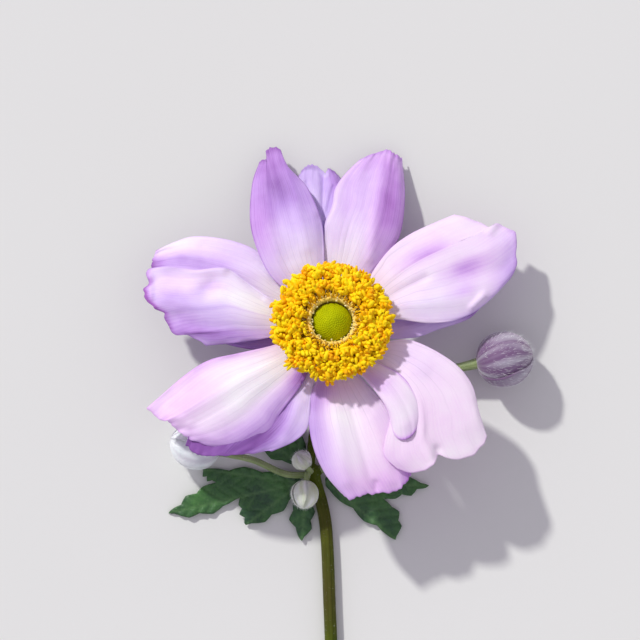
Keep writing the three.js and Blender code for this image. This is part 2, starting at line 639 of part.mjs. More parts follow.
// Bracts: lobed blades with forward-pointing teeth, listed counter-clockwise from above. foot: where the
// blade's outline leaves the node and comes back to it; lobes: each tip, the notch after it, how far the
// sides before and after the tip bow out, and the teeth on a side
const BRACTS = {
  bract_left: {
    foot: [[-5.7, -29.2], [-6.0, -30.8]],
    lobes: [
      { tip: [-24.2, -27.4], notch: [-21.6, -29.8], bow: [1.3, 0.4], teeth: 3 },
      { tip: [-30.6, -35.6], notch: [-17.2, -32.6], bow: [1.0, 1.3], teeth: 3 },
      { tip: [-16.1, -37.8], bow: [0.8, 1.2], teeth: 3 },
    ],
  },
  bract_right: {
    foot: [[-1.2, -30.4], [-1.2, -28.9]],
    lobes: [
      { tip: [11.9, -40.6], notch: [9.6, -32.8], bow: [0.9, 1.6], teeth: 3 },
      { tip: [18.2, -30.4], bow: [1.0, 1.4], teeth: 3 },
    ],
  },
  bract_back: {
    foot: [[-5.1, -25.9], [-6.3, -26.8]],
    lobes: [
      { tip: [-7.4, -13.6], notch: [-9.2, -20.6], bow: [1.1, 1.2], teeth: 3 },
      { tip: [-16.4, -19.6], bow: [1.0, 1.2], teeth: 3 },
    ],
  },
  bract_small: {
    foot: [[-5.4, -31.3], [-4.5, -31.3]],
    lobes: [
      { tip: [-5.6, -40.8], bow: [2.6, 1.2], teeth: 3 },
    ],
  },
};

// One side of a lobe: it bows out to the right of its way, with a notch before each tooth but the first
function toothedSide(from, to, bow, teeth) {
  const along = to.clone().sub(from);
  const out = new THREE.Vector2(along.y, -along.x).normalize();
  const place = (share, depth) => from.clone()
    .addScaledVector(along, share)
    .addScaledVector(out, bow * Math.sin(Math.PI * share) - depth);
  const points = [];
  for (let n = 0; n < teeth; n++) {
    points.push(place((n + TOOTH_NOTCH) / teeth, n === 0 ? 0 : TOOTH_DEPTH));
    points.push(place((n + TOOTH_POINT) / teeth, 0));
  }
  return points;
}

// A bract's outline, lobe after lobe, from where it leaves the node to where it comes back
function bractOutline({ foot, lobes }) {
  const vector = ([x, y]) => new THREE.Vector2(x, y);
  const points = [vector(foot[0])];
  lobes.forEach(({ tip, notch, bow, teeth }) => {
    const before = points[points.length - 1];
    const end = vector(notch ?? foot[1]);
    points.push(...toothedSide(before, vector(tip), bow[0], teeth), vector(tip));
    points.push(...toothedSide(end, vector(tip), -bow[1], teeth).reverse(), end);
  });
  return points;
}

// The blade comes down from the node and lies along the surface, with a low ripple
function bractHeight(bract, place) {
  const [[x0, y0], [x1, y1]] = bract.foot;
  const reach = Math.hypot(place.x - (x0 + x1) / 2, place.y - (y0 + y1) / 2);
  const fall = LEAF_RISE * Math.max(0, 1 - reach / LEAF_FALL_REACH) ** 2;
  const ripple = LEAF_RIPPLE * Math.sin(reach / LEAF_RIPPLE_REACH) ** 2;
  return fall + ripple;
}

// A blade: the outline's upper and lower face, and the rim between them
function bractGeometry(bract) {
  const outline = bractOutline(bract);
  const count = outline.length;
  const corners = [LEAF_THICKNESS, 0].flatMap((lift) => (
    outline.map((place) => new THREE.Vector3(place.x, place.y, bractHeight(bract, place) + lift))
  ));
  const triangles = [];
  for (const [a, b, c] of THREE.ShapeUtils.triangulateShape(outline, [])) {
    triangles.push([a, b, c], [count + a, count + c, count + b]);
  }
  for (let n = 0; n < count; n++) {
    const next = (n + 1) % count;
    triangles.push([n, count + n, count + next], [n, count + next, next]);
  }
  return solidGeometry(corners, triangles);
}

const group = new THREE.Group();

function addNode(name, geometry, finish) {
  const mesh = new THREE.Mesh(geometry, new THREE.MeshStandardMaterial({ ...finish, metalness: 0 }));
  mesh.name = name;
  group.add(mesh);
}

for (const [name, petal] of Object.entries(PETALS)) {
  addNode(name, petalGeometry(petal), FINISH_OF_LEVEL[petal.level]);
}
addNode('stamens', stamensGeometry(), FINISHES.stamens);
addNode('carpel_head', carpelHeadGeometry(), FINISHES.head);
addNode('stem', stemWithStalksGeometry(), FINISHES.stem);
for (const [name, bud] of Object.entries(BUDS)) {
  addNode(name, budGeometry(bud), bud.finish);
}
for (const [name, bract] of Object.entries(BRACTS)) {
  addNode(name, bractGeometry(bract), FINISHES.bract);
}

// The origin goes under the middle of the spray, on the surface that it lies on
const box = new THREE.Box3().setFromObject(group);
const middle = box.getCenter(new THREE.Vector3());
group.position.set(-middle.x, -middle.y, -box.min.z);

export default group;
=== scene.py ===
"""A japanese anemone flower, picked with its stem, bracts and buds, lying face up on a pale floor.

Lengths are in millimetres on the flower's plan, unless a name says metres. The plan's origin is under the
middle of the carpel head, with +X to the right and +Y up the flower's face, as it is seen from above.
"""

import logging
import math
from collections.abc import Sequence
from dataclasses import asdict, dataclass, replace
from enum import Enum
from functools import cache
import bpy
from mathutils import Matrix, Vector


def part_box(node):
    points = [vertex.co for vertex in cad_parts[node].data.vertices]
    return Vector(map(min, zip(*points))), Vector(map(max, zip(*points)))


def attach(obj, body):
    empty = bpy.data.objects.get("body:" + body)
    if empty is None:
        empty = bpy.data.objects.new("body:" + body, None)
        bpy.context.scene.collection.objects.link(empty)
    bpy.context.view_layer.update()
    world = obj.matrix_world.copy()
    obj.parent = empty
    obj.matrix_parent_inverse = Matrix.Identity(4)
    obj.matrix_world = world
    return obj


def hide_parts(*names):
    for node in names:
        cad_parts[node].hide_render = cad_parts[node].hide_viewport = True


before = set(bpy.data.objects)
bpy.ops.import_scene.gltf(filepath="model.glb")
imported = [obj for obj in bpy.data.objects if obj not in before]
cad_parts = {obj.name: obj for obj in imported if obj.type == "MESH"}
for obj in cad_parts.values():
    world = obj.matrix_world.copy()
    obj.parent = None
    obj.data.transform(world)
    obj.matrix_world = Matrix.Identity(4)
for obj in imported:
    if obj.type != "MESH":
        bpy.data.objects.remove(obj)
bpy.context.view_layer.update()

from types import SimpleNamespace

import bpy
import numpy as np
from mathutils import Matrix, Vector
from mathutils.geometry import delaunay_2d_cdt

LOG = logging.getLogger("anemone")
METRES = 0.001
GOLDEN_ANGLE = math.pi * (3 - math.sqrt(5))

Colour = tuple[float, float, float, float]
Pair = tuple[float, float]
Outline = Sequence[Pair]
Row = tuple[float, float, float, float, float, float]
Place = tuple[float, float, float]
Route = Sequence[Place]
Array = np.ndarray
Faces = list[tuple[int, ...]]
Piece = bpy.types.Object
Material = bpy.types.Material
Tree = bpy.types.NodeTree
Node = bpy.types.Node
Socket = bpy.types.NodeSocket
Value = float | Sequence[float] | Socket
Inputs = dict[int | str, object]


class Slot(Enum):
    """The material slots of the record."""

    PETAL = "petal"
    STAMEN = "stamen"
    CARPEL = "carpel"
    STEM = "stem"
    BRACT = "bract"
    BUD_PALE = "bud_pale"
    BUD_MAUVE = "bud_mauve"


def colour(red: int, green: int, blue: int) -> Colour:
    """Turns a colour of 0 to 255 a channel into the linear one that a shader takes, with full alpha."""
    channels = (channel / 255 for channel in (red, green, blue))
    return (*(c / 12.92 if c <= 0.04045 else ((c + 0.055) / 1.055) ** 2.4 for c in channels), 1.0)


def smoothstep(low: float, high: float, value: Array) -> Array:
    """Rises smoothly from 0 at low to 1 at high."""
    t = np.clip((value - low) / (high - low), 0.0, 1.0)
    return t * t * (3 - 2 * t)


def lerp(start: Array | float, end: Array | float, t: Array | float) -> Array | float:
    """Goes straight from start to end as t goes from 0 to 1."""
    return start * (1 - t) + end * t


def turns(sides: int) -> Array:
    """Gives the equal turns of a ring's points, in radians."""
    return 2 * math.pi * np.arange(sides) / sides


def grid(down: Array, across: Array) -> list[Array]:
    """Spreads two lists of values over one grid, the first down it and the second across it."""
    return list(np.meshgrid(down, across, indexing="ij"))


def spline(points: Array, t: Array) -> Array:
    """Follows a smooth curve through a list of points, at equal steps of t from point to point.

    Args:
        points: The points, one a row.
        t: Places along the curve, from 0 to 1.

    Returns:
        The curve's places, one a row.
    """
    last = len(points) - 1
    place = np.clip(t, 0.0, 1.0) * last
    start = np.minimum(place.astype(int), last - 1)
    w = (place - start)[:, None]
    before = points[np.maximum(start - 1, 0)]
    here = points[start]
    ahead = points[start + 1]
    after = points[np.minimum(start + 2, last)]
    pull_here = (ahead - before) / 2
    pull_ahead = (after - here) / 2
    cubic = (2 * here - 2 * ahead + pull_here + pull_ahead) * w**3
    square = (-3 * here + 3 * ahead - 2 * pull_here - pull_ahead) * w**2
    return cubic + square + pull_here * w + here


def even_spline(points: Array, t: Array) -> Array:
    """Follows the same curve at equal steps of length.

    Args:
        points: The points, one a row.
        t: Shares of the curve's length, from 0 to 1.

    Returns:
        The curve's places, one a row.
    """
    fine = np.linspace(0, 1, 40 * len(points))
    steps = np.linalg.norm(np.diff(spline(points, fine), axis=0), axis=1)
    run = np.concatenate([[0.0], np.cumsum(steps)])
    return spline(points, np.interp(t * run[-1], run, fine))


def ripple(along: Array, across: Array, rate: Pair, seed: int) -> Array:
    """Gives a soft uneven pattern of about -1 to 1, the same for the same seed.

    Args:
        along: First coordinate of each place.
        across: Second coordinate of each place.
        rate: How many swings there are along each coordinate.
        seed: Seed of the pattern.

    Returns:
        The pattern's height at each place.
    """
    rng = np.random.default_rng(seed)
    waves = 7
    total = np.zeros(np.broadcast(along, across).shape)
    for _ in range(waves):
        turn = rng.uniform(-1, 1, 2) * rate
        total += np.sin(2 * math.pi * (turn[0] * along + turn[1] * across + rng.uniform()))
    return total / math.sqrt(waves)


class Wiring:
    """Places nodes in one tree, and sets or joins their inputs."""

    def __init__(self, tree: Tree) -> None:
        """Keeps the tree that the nodes go into."""
        self.tree = tree

    @staticmethod
    def live(sockets: bpy.types.bpy_prop_collection, key: int | str) -> Socket:
        """Finds a socket by its place or its name, passing over those switched off."""
        return sockets[key] if isinstance(key, int) else next(s for s in sockets if s.name == key and s.enabled)

    def feed(self, socket: Socket, value: object) -> None:
        """Joins an input to an output, or sets it.

        Args:
            socket: The input.
            value: The output to join it to, or its value.
        """
        if isinstance(value, Socket):
            self.tree.links.new(value, socket)
        else:
            socket.default_value = value

    def node(self, kind: str, inputs: Inputs | None = None, **settings: object) -> Node:
        """Adds a node.

        Args:
            kind: The node's type name.
            inputs: Values or sockets for its inputs, by name or place.
            settings: The node's own properties.

        Returns:
            The new node.
        """
        node = self.tree.nodes.new(kind)
        for name, value in settings.items():
            setattr(node, name, value)
        for key, value in (inputs or {}).items():
            self.feed(self.live(node.inputs, key), value)
        return node

    def out(self, kind: str, inputs: Inputs | None = None, **settings: object) -> Socket:
        """Adds a node and returns its first output in use."""
        node = self.node(kind, inputs, **settings)
        return next(socket for socket in node.outputs if socket.enabled)

    def math(self, operation: str, *values: Value, clamp: bool = False) -> Socket:
        """Adds a scalar maths node."""
        return self.out("ShaderNodeMath", dict(enumerate(values)), operation=operation, use_clamp=clamp)

    def vector(self, operation: str, *values: Value) -> Socket:
        """Adds a vector maths node."""
        return self.out("ShaderNodeVectorMath", dict(enumerate(values)), operation=operation)

    def scaled(self, vector: Value, factor: Value) -> Socket:
        """Makes a vector longer or shorter."""
        return self.out("ShaderNodeVectorMath", {0: vector, "Scale": factor}, operation="SCALE")

    def xyz(self, x: Value, y: Value, z: Value) -> Socket:
        """Makes a vector of its three parts."""
        return self.out("ShaderNodeCombineXYZ", {0: x, 1: y, 2: z})

    def polar(self, reach: Value, turn: Value, rise: Value) -> Socket:
        """Makes a vector of its distance from Z, its turn round it and its height."""
        parts = [self.math("MULTIPLY", reach, self.math(way, turn)) for way in ("COSINE", "SINE")]
        return self.xyz(*parts, rise)

    def between(self, start: Value, end: Value, t: Value) -> Socket:
        """Goes straight from start to end as t goes from 0 to 1."""
        return self.math("ADD", self.math("MULTIPLY", self.math("SUBTRACT", end, start), t), start)

    def map_range(self, value: Value, source: tuple[Value, Value], target: tuple[Value, Value]) -> Socket:
        """Maps one range smoothly onto another."""
        ends = {"From Min": source[0], "From Max": source[1], "To Min": target[0], "To Max": target[1]}
        return self.out("ShaderNodeMapRange", {"Value": value, **ends}, interpolation_type="SMOOTHSTEP")

    def mix(self, factor: Value, first: Value, second: Value) -> Socket:
        """Mixes two colours, with factor as the share of the second."""
        inputs = {"Factor": factor, "A": first, "B": second}
        return self.out("ShaderNodeMix", inputs, data_type="RGBA", clamp_factor=True)

    def ramp(self, factor: Value, stops: Sequence[tuple[float, Colour]]) -> Socket:
        """Adds a colour ramp.

        Args:
            factor: Place on the ramp, from 0 to 1.
            stops: Two or more places and their colours, in order.

        Returns:
            The ramp's colour.
        """
        node = self.node("ShaderNodeValToRGB", {"Fac": factor})
        elements = node.color_ramp.elements
        elements[0].position, elements[0].color = stops[0]
        elements[1].position, elements[1].color = stops[-1]
        for position, shade in stops[1:-1]:
            elements.new(position).color = shade
        return node.outputs["Color"]

    def noise(self, place: Value, scale: Value, detail: float = 3.0) -> Socket:
        """Adds a noise texture and returns its value, which is about 0.5 on average."""
        return self.out("ShaderNodeTexNoise", {"Vector": place, "Scale": scale, "Detail": detail})

    def random(self, low: float, high: float, number: Socket, seed: Value, step: int = 0) -> Socket:
        """Adds a random value that goes with an element's own number, and another one for each step."""
        values = {"Min": low, "Max": high, "ID": number, "Seed": self.math("ADD", seed, float(step))}
        return self.out("FunctionNodeRandomValue", values, data_type="FLOAT")

    def geo(self, kind: str, **inputs: object) -> Socket:
        """Adds a geometry node, with _ for a space in its inputs' names."""
        named = {name.replace("_", " "): value for name, value in inputs.items()}
        return self.out(f"GeometryNode{kind}", named)

    def store(self, geometry: Socket, name: str, value: Value, domain: str = "POINT") -> Socket:
        """Stores a value under a name on each point, or on each element of another domain."""
        inputs = {"Geometry": geometry, "Name": name, "Value": value}
        return self.out("GeometryNodeStoreNamedAttribute", inputs, data_type="FLOAT", domain=domain)

    def stored(self, name: str) -> Socket:
        """Reads what is stored under a name."""
        return self.out("GeometryNodeInputNamedAttribute", {"Name": name}, data_type="FLOAT")

    def dressed(self, geometry: Socket, material: Value) -> Socket:
        """Gives geometry its material."""
        return self.geo("SetMaterial", Geometry=geometry, Material=material)

    def scattered(self, points: Socket, instance: Socket, **inputs: Value) -> Socket:
        """Sets a copy of the instance on each point."""
        return self.geo("InstanceOnPoints", Points=points, Instance=instance, **inputs)


class Growth:
    """A Geometry Nodes tree with named inputs, run on one object and made plain mesh."""

    SOCKETS = {int: "NodeSocketInt", float: "NodeSocketFloat", tuple: "NodeSocketVector"}

    def __init__(self, name: str) -> None:
        """Makes the tree with its geometry input and output.

        Args:
            name: The tree's name.
        """
        self.tree = bpy.data.node_groups.new(name, "GeometryNodeTree")
        self.tree.interface.new_socket("Geometry", in_out="INPUT", socket_type="NodeSocketGeometry")
        self.tree.interface.new_socket("Geometry", in_out="OUTPUT", socket_type="NodeSocketGeometry")
        self.wiring = Wiring(self.tree)
        self.entry = self.tree.nodes.new("NodeGroupInput").outputs
        self.exit = self.tree.nodes.new("NodeGroupOutput")

    def materials(self, *names: str) -> list[Socket]:
        """Adds an input for each of some materials."""
        return [self._input(name, "NodeSocketMaterial") for name in names]

    def sizes(self, owner: object, *fields: str) -> SimpleNamespace:
        """Adds an input for each of a sub-assembly's fields, named after it.

        Args:
            owner: The sub-assembly.
            fields: Names of its fields.

        Returns:
            The sockets that carry them, by the same names.
        """
        values = {field: getattr(owner, field) for field in fields}
        return SimpleNamespace(**{
            field: self._input(field.replace("_", " ").title(), self.SOCKETS[type(value)], value)
            for field, value in values.items()
        })

    def _input(self, name: str, kind: str, value: object = None) -> Socket:
        """Adds a named input.

        Args:
            name: The input's name.
            kind: The socket's type name.
            value: Its value where the modifier sets none.

        Returns:
            The socket that carries it inside the tree.
        """
        socket = self.tree.interface.new_socket(name, in_out="INPUT", socket_type=kind)
        if value is not None:
            socket.default_value = value
        return self.entry[name]

    def finish(self, *geometry: Socket) -> None:
        """Joins the geometry, makes its instances real and sends it out.

        Args:
            geometry: The tree's parts.
        """
        joined = self.wiring.node("GeometryNodeJoinGeometry")
        for piece in geometry:
            self.tree.links.new(piece, joined.inputs[0])
        real = self.wiring.geo("RealizeInstances", Geometry=joined.outputs[0])
        self.tree.links.new(real, self.exit.inputs[0])

    def run(self, piece: Piece, **values: object) -> None:
        """Runs the tree on an object and keeps the result as its mesh.

        Args:
            piece: The object to grow on.
            values: Inputs by name, with _ for a space.
        """
        modifier = piece.modifiers.new(self.tree.name, "NODES")
        modifier.node_group = self.tree
        for name, value in values.items():
            modifier[self.tree.interface.items_tree[name.replace("_", " ")].identifier] = value
        graph = bpy.context.evaluated_depsgraph_get()
        mesh = bpy.data.meshes.new_from_object(
            piece.evaluated_get(graph), preserve_all_data_layers=True, depsgraph=graph
        )
        mesh.name = piece.name
        piece.modifiers.remove(modifier)
        piece.data = mesh


@dataclass(frozen=True)
class Plan:
    """The flower's plan in millimetres, set in the frame of the solids."""

    bract_left_tip: float = 30.6
    bract_small_tip: float = 40.8

    def origin(self) -> Vector:
        """Finds the plan's origin from two outline tips of the bracts.

        Returns:
            The origin in the frame, in metres.
        """
        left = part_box("bract_left")[0].x + self.bract_left_tip * METRES
        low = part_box("bract_small")[0].y + self.bract_small_tip * METRES
        return Vector((left, low, 0.0))

    def settle(self, piece: Piece) -> None:
        """Turns a piece's mesh from millimetres on the plan into metres in the frame, none under the floor.

        Args:
            piece: The piece.
        """
        piece.data.transform(Matrix.Translation(self.origin()) @ Matrix.Scale(METRES, 4))
        places = np.empty(len(piece.data.vertices) * 3, dtype=np.float32)
        piece.data.vertices.foreach_get("co", places)
        places[2::3] = np.maximum(places[2::3], 0.0)
        piece.data.vertices.foreach_set("co", places)
        piece.data.update()


@dataclass(frozen=True)
class FlowerAxis:
    """The flower's axis, which leans back from the vertical."""

    lean: float = math.radians(12)
    base_height: float = 9.6
    head_height: float = 6.6

    def place(self, a: Array, b: Array, h: Array) -> Array:
        """Places points given along the axis.

        Args:
            a: Distance to the right.
            b: Distance up the flower's face.
            h: Height along the axis.

        Returns:
            Points on the plan, one a row.
        """
        sin = math.sin(self.lean)
        cos = math.cos(self.lean)
        a, b, h = np.broadcast_arrays(a, b, h)
        up = (h - self.head_height) * sin + b * cos
        return np.stack([a, up, self.base_height + h * cos - b * sin], axis=-1)

    def plane_height(self, y: Array, h: float) -> Array:
        """Gives the height of the plane square to the axis at h."""
        rise = (y + self.head_height * math.sin(self.lean)) * math.tan(self.lean)
        return self.base_height - rise + h / math.cos(self.lean)

    def stand(self, piece: Piece) -> None:
        """Stands a mesh that was made round +Z on the leaning axis."""
        shift = Vector((0, -self.head_height * math.sin(self.lean), self.base_height))
        piece.data.transform(Matrix.Translation(shift) @ Matrix.Rotation(-self.lean, 4, "X"))


class Skin:
    """Gathers closed bodies into one mesh, with a UV map and masks on its points."""

    def __init__(self) -> None:
        """Starts with no bodies."""
        self.points: list[Array] = []
        self.uvs: list[Array] = []
        self.faces: Faces = []
        self.masks: dict[str, list[Array]] = {}
        self.count = 0

    def add(self, points: Array, faces: Faces, uv: Array | None = None, **masks: Array) -> None:
        """Adds one closed body, turned to face outwards.

        Args:
            points: The body's points, one a row.
            faces: Its faces, as places in points.
            uv: A UV place for each point.
            masks: A value from 0 to 1 for each point, by name.
        """
        if signed_volume(points, faces) < 0:
            faces = [face[::-1] for face in faces]
        self.points.append(points)
        self.uvs.append(uv if uv is not None else np.zeros((len(points), 2)))
        for name in dict.fromkeys([*self.masks, *masks]):
            earlier = self.masks.setdefault(name, [np.zeros(self.count)])
            earlier.append(np.asarray(masks.get(name, np.zeros(len(points))), dtype=float))
        self.faces.extend(tuple(corner + self.count for corner in face) for face in faces)
        self.count += len(points)

    def add_sheet(self, upper: Array, lower: Array, along: Array, across: Array, **masks: Value) -> None:
        """Adds a closed sheet, with its UV map from its shares of the way along and across.

        Args:
            upper: The upper face's grid of points.
            lower: The lower face's.
            along: The share along of each point of a face.
            across: The share across.
            masks: A grid of values for both faces, or a pair for the upper and the lower one, by name.
        """
        uv = np.stack([along, across], axis=-1).reshape(-1, 2)
        pairs = {name: mask if isinstance(mask, tuple) else (mask, mask) for name, mask in masks.items()}
        values = {
            name: np.concatenate([np.broadcast_to(side, along.shape).ravel() for side in pair])
            for name, pair in pairs.items()
        }
        points = np.concatenate([upper.reshape(-1, 3), lower.reshape(-1, 3)])
        self.add(points, sheet_faces(*along.shape), uv=np.concatenate([uv, uv]), **values)

    def add_tube(self, rings: Array, **masks: Array) -> None:
        """Adds a closed tube, with U along it and V round it.

        Args:
            rings: Its rings' points.
            masks: Grids of values, by name.
        """
        steps, sides = rings.shape[:2]
        uv = np.stack(grid(np.linspace(0, 1, steps), np.arange(sides) / sides), axis=-1).reshape(-1, 2)
        values = {name: mask.ravel() for name, mask in masks.items()}
        self.add(rings.reshape(-1, 3), tube_faces(steps, sides), uv=uv, **values)

    def piece(self, name: str, materials: Sequence[Material]) -> Piece:
        """Makes the object.

        Args:
            name: The object's name.
            materials: Its materials.

        Returns:
            The object, linked to the scene.
        """
        mesh = bpy.data.meshes.new(name)
        mesh.from_pydata(np.concatenate(self.points).tolist(), [], self.faces)
        mesh.polygons.foreach_set("use_smooth", [True] * len(self.faces))
        corners = np.empty(len(mesh.loops), dtype=np.int32)
        mesh.loops.foreach_get("vertex_index", corners)
        layer = mesh.uv_layers.new(name="UVMap")
        layer.data.foreach_set("uv", np.concatenate(self.uvs)[corners].ravel())
        for mask, parts in self.masks.items():
            attribute = mesh.attributes.new(mask, "FLOAT", "POINT")
            attribute.data.foreach_set("value", np.concatenate(parts))
        for material in materials:
            mesh.materials.append(material)
        mesh.update()
        piece = bpy.data.objects.new(name, mesh)
        bpy.context.collection.objects.link(piece)
        return piece


def signed_volume(points: Array, faces: Faces) -> float:
    """Measures six times a closed body's volume, with a minus sign where its faces point inwards.

    Args:
        points: The body's points, one a row.
        faces: Its faces, as places in points.

    Returns:
        The signed measure.
    """
    fans = [(face[0], face[n], face[n + 1]) for face in faces for n in range(1, len(face) - 1)]
    a, b, c = (points[corner] for corner in np.array(fans).T)
    return float(np.einsum("ij,ij->i", a, np.cross(b, c)).sum())


def sheet_faces(rows: int, columns: int) -> Faces:
    """Lists the faces of a closed sheet whose upper points come first and its lower points after them.

    Args:
        rows: Points along one way of the sheet.
        columns: Points along the other.

    Returns:
        The faces, as places in the points.
    """
    size = rows * columns
    faces: Faces = []
    for i in range(rows - 1):
        for j in range(columns - 1):
            corner = i * columns + j
            quad = (corner, corner + columns, corner + columns + 1, corner + 1)
            faces.append(quad)
            faces.append(tuple(size + place for place in reversed(quad)))
    border = list(range(columns - 1))
    border += [i * columns + columns - 1 for i in range(rows - 1)]
    border += [(rows - 1) * columns + j for j in range(columns - 1, 0, -1)]
    border += [i * columns for i in range(rows - 1, 0, -1)]
    for here, ahead in zip(border, border[1:] + border[:1]):
        faces.append((here, ahead, size + ahead, size + here))
    return faces


def tube_faces(rings: int, sides: int) -> Faces:
    """Lists the faces of a closed tube of rings, each end closed by one face.

    Args:
        rings: How many rings there are.
        sides: How many points a ring has.

    Returns:
        The faces, as places in the points.
    """
    faces: Faces = []
    for i in range(rings - 1):
        for j in range(sides):
            ahead = (j + 1) % sides
            faces.append((i * sides + j, i * sides + ahead, (i + 1) * sides + ahead, (i + 1) * sides + j))
    faces.append(tuple(reversed(range(sides))))
    faces.append(tuple((rings - 1) * sides + j for j in range(sides)))
    return faces


def sheet_normals(middle: Array) -> Array:
    """Gives the upward normal at each point of a grid.

    Args:
        middle: The grid's points.

    Returns:
        The unit normals.
    """
    normal = np.cross(np.gradient(middle, axis=1), np.gradient(middle, axis=0))
    normal /= np.maximum(np.linalg.norm(normal, axis=-1, keepdims=True), 1e-9)
    return normal * np.where(normal[..., 2:] < 0, -1.0, 1.0)


def tube_rings(path: Array, radii: Array, sides: int) -> Array:
    """Places the rings of a tube along a path.

    Args:
        path: The path's points, one a row.
        radii: A radius for each point, or for each point and side.
        sides: How many points a ring has.

    Returns:
        The rings' points, as an array of rings, sides and coordinates.
    """
    along = np.gradient(path, axis=0)
    along /= np.linalg.norm(along, axis=1, keepdims=True)
    side = np.cross(along, [0.0, 0.0, 1.0])
    side /= np.maximum(np.linalg.norm(side, axis=1, keepdims=True), 1e-9)
    up = np.cross(side, along)
    angle = turns(sides)
    girth = radii if radii.ndim == 2 else np.repeat(radii[:, None], sides, axis=1)
    reach = side[:, None, :] * np.cos(angle)[None, :, None] + up[:, None, :] * np.sin(angle)[None, :, None]
    return path[:, None, :] + reach * girth[..., None]


def shader_group(name: str, inputs: dict[str, float | None], *outputs: str) -> Wiring:
    """Makes a shader group with its inputs and outputs.

    Args:
        name: The group's name.
        inputs: The inputs' own values by name, None for a vector.
        outputs: Names of its outputs.

    Returns:
        The wiring of the group.
    """
    tree = bpy.data.node_groups.new(name, "ShaderNodeTree")
    for label, value in inputs.items():
        kind = "NodeSocketVector" if value is None else "NodeSocketFloat"
        socket = tree.interface.new_socket(label, in_out="INPUT", socket_type=kind)
        if value is not None:
            socket.default_value = value
    for label in outputs:
        tree.interface.new_socket(label, in_out="OUTPUT", socket_type="NodeSocketFloat")
    return Wiring(tree)


@cache
def vein_lines() -> Tree:
    """Builds the group that draws lines along U, side by side across V, each of its own strength.

    Returns:
        The group, whose Mask is 1 in the middle of the strongest lines.
    """
    inputs = {"Place": None, "Count": 12.0, "Width": 0.2, "Wander": 0.05, "Seed": 0.0}
    wiring = shader_group("vein_lines", inputs, "Mask")
    entry = wiring.node("NodeGroupInput").outputs
    place = wiring.node("ShaderNodeSeparateXYZ", {0: entry["Place"]}).outputs
    drawn_out = [wiring.math("MULTIPLY", part, rate) for part, rate in zip(place, (1.6, 3.0))]
    stray = wiring.math("SUBTRACT", wiring.noise(wiring.xyz(*drawn_out, entry["Seed"]), 2.0, 2.0), 0.5)
    across = wiring.math("MULTIPLY_ADD", stray, entry["Wander"], place[1])
    line = wiring.math("MULTIPLY", across, entry["Count"])
    apart = wiring.math("ABSOLUTE", wiring.math("SUBTRACT", wiring.math("FRACT", line), 0.5))
    mask = wiring.map_range(apart, (0.0, entry["Width"]), (1.0, 0.0))
    number = wiring.math("ADD", wiring.math("FLOOR", line), entry["Seed"])
    own = wiring.out("ShaderNodeTexWhiteNoise", {"W": number}, noise_dimensions="1D")
    strength = wiring.between(0.25, 1.0, own)
    wiring.node("NodeGroupOutput", {"Mask": wiring.math("MULTIPLY", mask, strength)})
    return wiring.tree


@cache
def cloud_and_grain() -> Tree:
    """Builds the group of cloudy colour change and fine grain, each about -0.5 to 0.5.

    Returns:
        The group.
    """
    inputs = {"Place": None, "Cloud Scale": 150.0, "Grain Scale": 3000.0}
    wiring = shader_group("cloud_and_grain", inputs, "Cloud", "Grain")
    entry = wiring.node("NodeGroupInput").outputs
    parts = {name: wiring.noise(entry["Place"], entry[f"{name} Scale"]) for name in ("Cloud", "Grain")}
    wiring.node("NodeGroupOutput", {name: wiring.math("SUBTRACT", part, 0.5) for name, part in parts.items()})
    return wiring.tree


@dataclass(frozen=True)
class Lines:
    """Lines along a piece: how many cross it, how wide each is, how far they wander, and their seed."""

    count: float
    width: float = 0.4
    wander: float = 0.04
    seed: float = 5.0


@dataclass(frozen=True)
class Finish:
    """What every finish here has: a name, the constant values of its surface, and its clouds and grain."""

    name: str
    roughness: float = 0.5
    sheen: float = 0.0
    see_into: float = 0.0
    see_into_depth: float = 0.6
    see_into_tint: Place = (1.0, 0.8, 0.9)
    specular: float = 0.4
    relief: float = 0.3
    relief_depth: float = 0.15
    cloud_scale: float = 300.0
    grain_scale: float = 4000.0
    unevenness: float = 0.25


